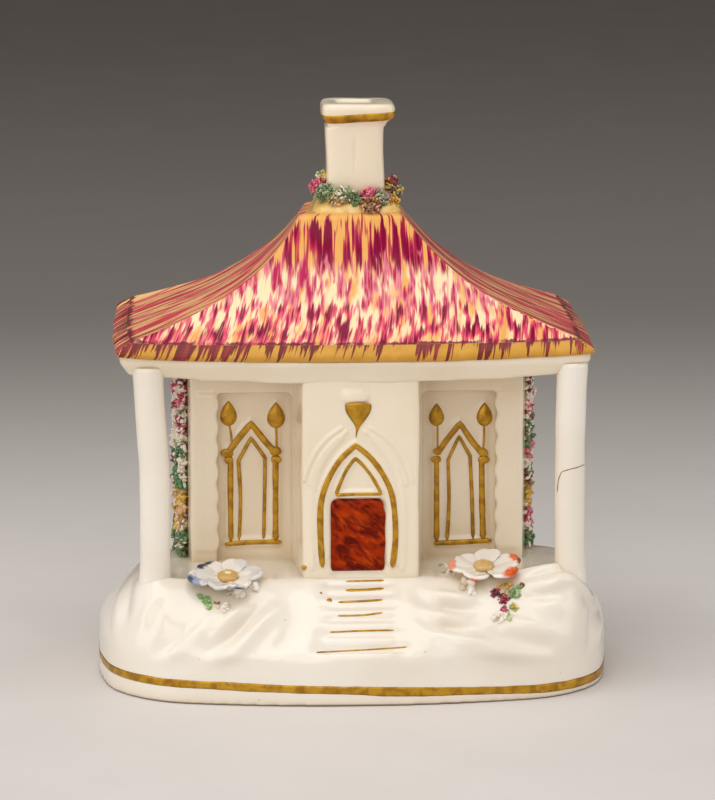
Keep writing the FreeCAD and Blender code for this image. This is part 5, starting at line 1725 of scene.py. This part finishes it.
def shreds(spots, rng):
    """Crumbs of sieved clay. A spot is a centre, a spread, a count, a crumb size and its colours."""
    base, polygons = crumb_form()
    vertices, faces, colours = [], [], []
    for centre, spread, count, size, palette in spots:
        start = len(vertices)
        core = rng.choice(palette)
        for point in base:
            rough = 0.62 + 0.2 * noise.noise(point * 2.0 + Vector(centre))
            vertices.append(tuple(c + p * s * rough for c, p, s in zip(centre, point, spread)))
            colours.append(tuple(0.88 * shade for shade in core))
        faces += [tuple(start + index for index in polygon) for polygon in polygons]
        for _ in range(int(count * SHRED_COUNT)):
            direction = Vector([rng.gauss(0, 1) for _ in range(3)]).normalized()
            reach = rng.random() ** 0.4
            middle = Vector(centre) + Vector([d * s * reach for d, s in zip(direction, spread)])
            turn = Matrix.Rotation(rng.uniform(0, math.tau), 3, direction.orthogonal())
            stretch = Vector((rng.uniform(0.6, 1.1), rng.uniform(0.5, 1.0), rng.uniform(0.9, 1.9)))
            stretch = stretch * size * SHRED_SIZE
            seed = rng.uniform(0, 50)
            shade = rng.choice(palette)
            tone = rng.uniform(0.95, 1.1) if min(shade) > 0.5 else rng.uniform(0.75, 1.2)
            start = len(vertices)
            for point in base:
                rough = 1 + 0.38 * noise.noise(point * 1.7 + Vector((seed, 0, 0)))
                moved = turn @ Vector([p * s * rough for p, s in zip(point, stretch)])
                vertices.append(tuple(middle + moved))
                colours.append(tuple(min(c * tone, 1.0) for c in shade))
            faces += [tuple(start + index for index in polygon) for polygon in polygons]
    return vertices, faces, colours


def make_moss(name, spots, seed, replaces, smooth=False):
    vertices, faces, colours = shreds(spots, random.Random(seed))
    piece = new_object(name, vertices, faces)
    paint(piece, np.array(colours))
    if smooth:
        round_off(piece)
    finish_piece(piece, MOSS, replaces)


# The garlands, from the eaves down: the share of the height where a bunch ends, its colours, and how
# much white clay shows.
GARLANDS = {
    "left": [(0.07, [GREEN, LEAF_GREEN, WINE], 0), (0.20, [MAGENTA, PINK, SHRED, MAGENTA], 2),
             (0.32, [WINE, MAGENTA, GREEN, SHRED], 2), (0.42, [SHRED, GREEN, PINK], 3),
             (0.55, [GREEN, LEAF_GREEN, SHRED, WINE], 1), (0.62, [GREEN, LEAF_GREEN], 0),
             (0.88, [YELLOW, YELLOW, OCHRE_DARK, PEACH, BROWN], 0), (1.0, [LEAF_GREEN, GREEN], 0)],
    "right": [(0.09, [YELLOW, GREEN, OCHRE_DARK], 0), (0.21, [WINE, MAGENTA, SHRED], 2),
              (0.30, [MAGENTA, SHRED, PINK], 2), (0.45, [GREEN, LEAF_GREEN, PINK], 1),
              (0.55, [SHRED, GREEN, PINK], 2), (0.66, [WINE, MAGENTA, GREEN], 1),
              (0.79, [YELLOW, YELLOW, OCHRE_DARK], 0), (0.90, [PINK, MAGENTA, SHRED], 1),
              (1.0, [LEAF_GREEN, GREEN], 0)],
}


# The strands of each garland: how far each lies behind the middle, how thick it is in millimetres, and
# how many shreds each of its rows has.
GARLAND_COLUMNS = {
    "left": [(0.0, 1.9, 10), (-2.6, 1.7, 9), (-5.2, 1.4, 8), (-7.8, 1.0, 6)],
    "right": [(0.0, 1.5, 9), (-2.4, 1.0, 6)],
}


GARLAND_ROWS = 46


def make_garland(side):
    node = side + "_garland"
    low, high = corners_mm(node)
    left = side == "left"
    outward = -1 if left else 1
    inner_x = high.x if left else low.x
    middle_y = (low.y + high.y) / 2
    spots = []
    clusters = random.Random(6 + outward)
    picks = {}
    for place in range(GARLAND_ROWS):
        share = (place + 0.5) / GARLAND_ROWS
        palette, white = next((colours, white) for end, colours, white in GARLANDS[side] if share <= end)
        z = high.z - share * (high.z - low.z)
        for column, (y_shift, reach, count) in enumerate(GARLAND_COLUMNS[side]):
            swell = 0.85 + 0.4 * abs(wander(place + 9 * column, 3 if left else 5, 0.45))
            x = inner_x + outward * reach * swell * 0.55
            y = middle_y + y_shift + 0.8 * wander(place, 9 + column, 0.3)
            if place % 2 == 0 or column not in picks:
                picks[column] = clusters.choice(palette)
            colours = [picks[column]] * 4 + [SHRED] * (white + 1)
            spots.append(((x, y, z), (reach * swell, 1.5 * swell, 0.9), count, 0.72, colours))
    make_moss(side + "_garland_moss", spots, 31 + outward, [node])


# Bunches round the chimney: photograph pixel of the middle, spread, count, crumb size, colours.
WREATH = {
    "left_tuft": (319, 186, 2.1, 130, 0.50, [PINK, PINK, MAGENTA, PINK]),
    "left_tuft_head": (322, 176, 1.4, 40, 0.45, [PALE_GREEN, GREY_GREEN, SHRED, YELLOW]),
    "left_green": (326, 194, 2.7, 130, 0.48, [GREY_GREEN, GREY_GREEN, GREEN]),
    "left_gold": (337, 200, 2.3, 90, 0.46, [YELLOW, PEACH, OCHRE_DARK, GREY_GREEN]),
    "middle_grey": (344, 194, 2.1, 70, 0.44, [GREY_GREEN, SHRED, GREEN]),
    "middle_green": (353, 201, 2.3, 90, 0.46, [GREEN, LEAF_GREEN, GREEN]),
    "right_pink": (369, 195, 2.0, 70, 0.46, [PINK, MAGENTA, PINK]),
    "right_brown": (370, 206, 2.4, 100, 0.46, [BROWN, WINE, OCHRE_DARK, PEACH]),
    "right_grey": (380, 197, 2.4, 100, 0.46, [GREY_GREEN, GREEN, PINK, GREY_GREEN]),
    "right_gold": (389, 202, 2.3, 80, 0.46, [YELLOW, YELLOW, OCHRE_DARK]),
    "right_tuft": (392, 191, 2.2, 130, 0.50, [GREEN, YELLOW, GREY_GREEN, WINE]),
    "right_tuft_head": (392, 181, 1.4, 36, 0.46, [MAGENTA, YELLOW, WINE]),
}


# How far some bunches lie behind the collar's front, in millimetres.
WREATH_DEPTH = {"left_green": 3.0, "right_gold": 3.0, "right_brown": 0.2}
# The colours of the bunches behind the chimney, in turn.
WREATH_BEHIND = [[GREY_GREEN, GREEN], [PINK, MAGENTA], [YELLOW, OCHRE_DARK], [GREEN, LEAF_GREEN],
                 [SHRED, PINK]]
# How far the whole wreath lies from those places, in pixels.
WREATH_SHIFT = (0.5, 0.0)


def make_wreath():
    collar_low, collar_high = corners_mm("chimney_collar")
    centre_y = (collar_low.y + collar_high.y) / 2
    spots = []
    for name, (u, v, spread, count, size, palette) in WREATH.items():
        y = centre_y - 1.5 if "tuft" in name else collar_low.y + 1.8
        if name in WREATH_DEPTH:
            y = collar_low.y + WREATH_DEPTH[name]
        middle = on_plane(u + WREATH_SHIFT[0], v + WREATH_SHIFT[1], y)
        spots.append((tuple(middle), (spread * 1.08, spread * 0.9, spread * 0.88), count, size, palette))
    behind = 11
    half_x = (collar_high.x - collar_low.x) / 2 - 1.4
    half_y = (collar_high.y - collar_low.y) / 2 - 1.4
    centre_x = (collar_low.x + collar_high.x) / 2
    for place in range(behind):
        angle = math.pi * (0.02 + 0.96 * place / (behind - 1))
        middle = (centre_x + half_x * math.cos(angle), centre_y + half_y * math.sin(angle),
                  collar_high.z + 1.0 + 0.5 * wander(place, 2, 0.9))
        spots.append((middle, (1.9, 1.6, 1.7), 52, 0.47, WREATH_BEHIND[place % len(WREATH_BEHIND)]))
    make_moss("chimney_wreath", spots, 77, ["chimney_garland"])


# Florets below the flowers: photograph pixel, spread, count, crumb size, colours.
FLORETS = {
    "left": {
        "bed": (236, 593, 2.0, 9, 1.5, [WHITE, WHITE, CREAM]),
        "bed_right": (254, 588, 1.6, 8, 1.2, [WHITE, WHITE]),
        "green": (207, 602, 1.3, 15, 0.8, [FRESH_GREEN, FRESH_GREEN, PALE_GREEN]),
        "green_head": (201, 597, 0.8, 7, 0.7, [PALE_GREEN, FRESH_GREEN]),
        "green_foot": (209, 607, 0.8, 7, 0.7, [FRESH_GREEN, PALE_GREEN]),
        "peach": (224, 607, 1.3, 9, 0.95, [PEACH, CREAM, WHITE, WHITE]),
        "dark": (217, 603, 0.7, 5, 0.6, [BROWN, OCHRE_DARK, PEACH]),
        "white_foot": (227, 610, 1.0, 6, 0.9, [WHITE, CREAM]),
    },
    "right": {
        "bed": (470, 588, 2.2, 10, 1.5, [WHITE, WHITE, CREAM]),
        "left_shreds": (449, 572, 1.5, 10, 0.9, [WHITE, WHITE, CREAM]),
        "left_green": (443, 566, 0.8, 6, 0.6, [PALE_GREEN, WHITE]),
        "yellow": (505, 588, 1.6, 16, 0.8, [YELLOW, YELLOW, PEACH, OCHRE_DARK]),
        "green": (514, 594, 1.5, 24, 0.7, [FRESH_GREEN, GREEN, PALE_GREEN, GREY_GREEN]),
        "green_tip": (519, 588, 1.0, 12, 0.6, [FRESH_GREEN, PALE_GREEN]),
        "green_foot": (513, 608, 1.2, 18, 0.65, [FRESH_GREEN, PALE_GREEN, YELLOW]),
        "wine": (496, 594, 1.5, 30, 0.6, [WINE, MAGENTA, WINE]),
        "wine_middle": (504, 600, 1.4, 26, 0.55, [WINE, MAGENTA, RUST]),
        "pink_foot": (504, 610, 1.1, 18, 0.5, [MAGENTA, PINK, MAGENTA]),
        "wine_tip": (523, 585, 0.6, 6, 0.5, [WINE, MAGENTA]),
        "white_foot": (498, 618, 1.5, 9, 1.1, [WHITE, WHITE, CREAM]),
        "white_middle": (507, 617, 1.3, 8, 1.0, [WHITE, PALE_GREEN, WHITE]),
    },
}


def make_florets(side, tree):
    spots = []
    for u, v, spread, count, size, palette in FLORETS[side].values():
        point, normal = on_surface(u, v, tree)
        middle = point - normal * spread * 0.12
        spots.append((tuple(middle), (spread, spread * 0.7, spread * 0.85), count, size, palette))
    make_moss(side + "_florets", spots, 11 if side == "left" else 12, [side + "_moss"], smooth=True)


# Pastille

def make_pastille():
    low, high = corners_mm("pastille")
    centre = (low + high) / 2
    radius = (high.x - low.x) / 2 - 0.05
    tall = high.z - low.z
    rows, spokes = 26, 40
    vertices = []
    for row in range(rows + 1):
        share = row / rows
        z = low.z + share * tall
        out = radius * (1 - 0.84 * share) * (1 - math.exp(-28 * (share + 0.02)))
        if share > 0.94:
            out *= math.sqrt(max(1 - ((share - 0.94) / 0.06) ** 2, 0.0)) + 0.02
        for spoke in range(spokes):
            angle = 2 * math.pi * spoke / spokes
            rough = 1 + 0.03 * noise.noise(Vector((math.cos(angle) * 3, math.sin(angle) * 3, z * 0.8)))
            reach = out * rough
            vertices.append((centre.x + reach * math.cos(angle), centre.y + reach * math.sin(angle), z))
    ends = [tuple(range(spokes - 1, -1, -1)), tuple(range(rows * spokes, (rows + 1) * spokes))]
    piece = new_object("charcoal_pastille", vertices, ends + ring_faces(spokes, rows + 1))
    finish_piece(piece, COAL, ["pastille"], "pastille")


# Floor and light

def make_stage():
    """A pale floor that runs back into a grey sweep, darkening towards the back as painted falloff of the
    lamps' light.
    """
    width, front, back, radius, tall = 6.0, -2.5, 1.5, 0.8, 2.2
    profile = [(front, 0.0), (back, 0.0)]
    for step in range(1, 13):
        angle = math.pi / 2 * step / 12
        profile.append((back + radius * math.sin(angle), radius * (1 - math.cos(angle))))
    profile.append((back + radius, tall))
    vertices = [(side * width / MM, y / MM, z / MM) for y, z in profile for side in (-1, 1)]
    faces = [(2 * k, 2 * k + 1, 2 * k + 3, 2 * k + 2) for k in range(len(profile) - 1)]
    floor = new_object("floor", vertices, faces)
    shader = Shader("floor_paper", 0.6)
    parts = shader.node("ShaderNodeSeparateXYZ")
    shader.put(parts.inputs[0], shader.place())
    # From pale at the front to dark grey at the back: painted falloff of the lamps' light.
    near = shader.rise(parts.outputs[1], 0.02, 0.50)
    colour = shader.mix(near, (0.74, 0.70, 0.675), (0.245, 0.222, 0.208))
    far = shader.rise(parts.outputs[1], 0.42, 1.35)
    colour = shader.mix(far, colour, (0.165, 0.145, 0.13))
    grain = shader.noise(shader.place(), 30, 4)
    colour = shader.mix(shader.rise(grain, 0.3, 0.7, 0.0, 0.05), colour, (0.3, 0.29, 0.28))
    shader.colour(colour)
    shader.surface.inputs["Specular IOR Level"].default_value = 0.2
    floor.data.materials.append(shader.material)
    for polygon in floor.data.polygons:
        polygon.use_smooth = True


def add_lamp(name, place, target, size, power, colour):
    data = bpy.data.lights.new(name, "AREA")
    data.shape = "RECTANGLE"
    data.size, data.size_y = size
    data.energy = power
    data.color = colour
    lamp = bpy.data.objects.new(name, data)
    bpy.context.scene.collection.objects.link(lamp)
    lamp.location = place
    lamp.rotation_euler = (Vector(target) - Vector(place)).to_track_quat("-Z", "Y").to_euler()


# The studio's lamps: place, size, power and colour. All face the object's middle.
LAMP_TARGET = (0, 0, 0.06)
LAMPS = {
    "overhead_box": ((-0.15, -0.25, 0.80), (0.9, 0.7), 3.4, (1.0, 0.975, 0.94)),
    "front_box": ((-0.35, -1.20, 0.50), (1.0, 0.8), 3.7, (1.0, 0.965, 0.92)),
    "left_box": ((-1.05, -0.30, 0.42), (0.7, 0.9), 2.6, (1.0, 0.97, 0.93)),
    "right_box": ((1.05, -0.35, 0.42), (0.7, 0.9), 2.2, (1.0, 0.97, 0.93)),
}
WORLD_COLOUR = (1.0, 0.985, 0.965, 1)
WORLD_STRENGTH = 0.45


def make_light():
    for name, (place, size, power, colour) in LAMPS.items():
        add_lamp(name, place, LAMP_TARGET, size, power, colour)
    world = bpy.data.worlds.new("studio")
    world.use_nodes = True
    background = world.node_tree.nodes["Background"]
    background.inputs[0].default_value = WORLD_COLOUR
    background.inputs[1].default_value = WORLD_STRENGTH
    bpy.context.scene.world = world
    bpy.context.scene.view_settings.view_transform = "Standard"


def main():
    make_camera()
    make_stage()
    make_light()
    mound_tree = make_base()
    make_base_band(mound_tree)
    make_step_lines(mound_tree)
    porch_y = make_house()
    make_windows()
    make_doorway(porch_y)
    make_bell(porch_y)
    make_door()
    make_drops(mound_tree, porch_y)
    make_pinholes(mound_tree)
    make_eaves()
    make_roof()
    make_collar()
    make_chimney()
    make_wreath()
    make_post("left")
    make_crack(make_post("right"))
    for side in ("left", "right"):
        make_flower(side)
        make_florets(side, mound_tree)
        make_garland(side)
    make_pastille()


main()
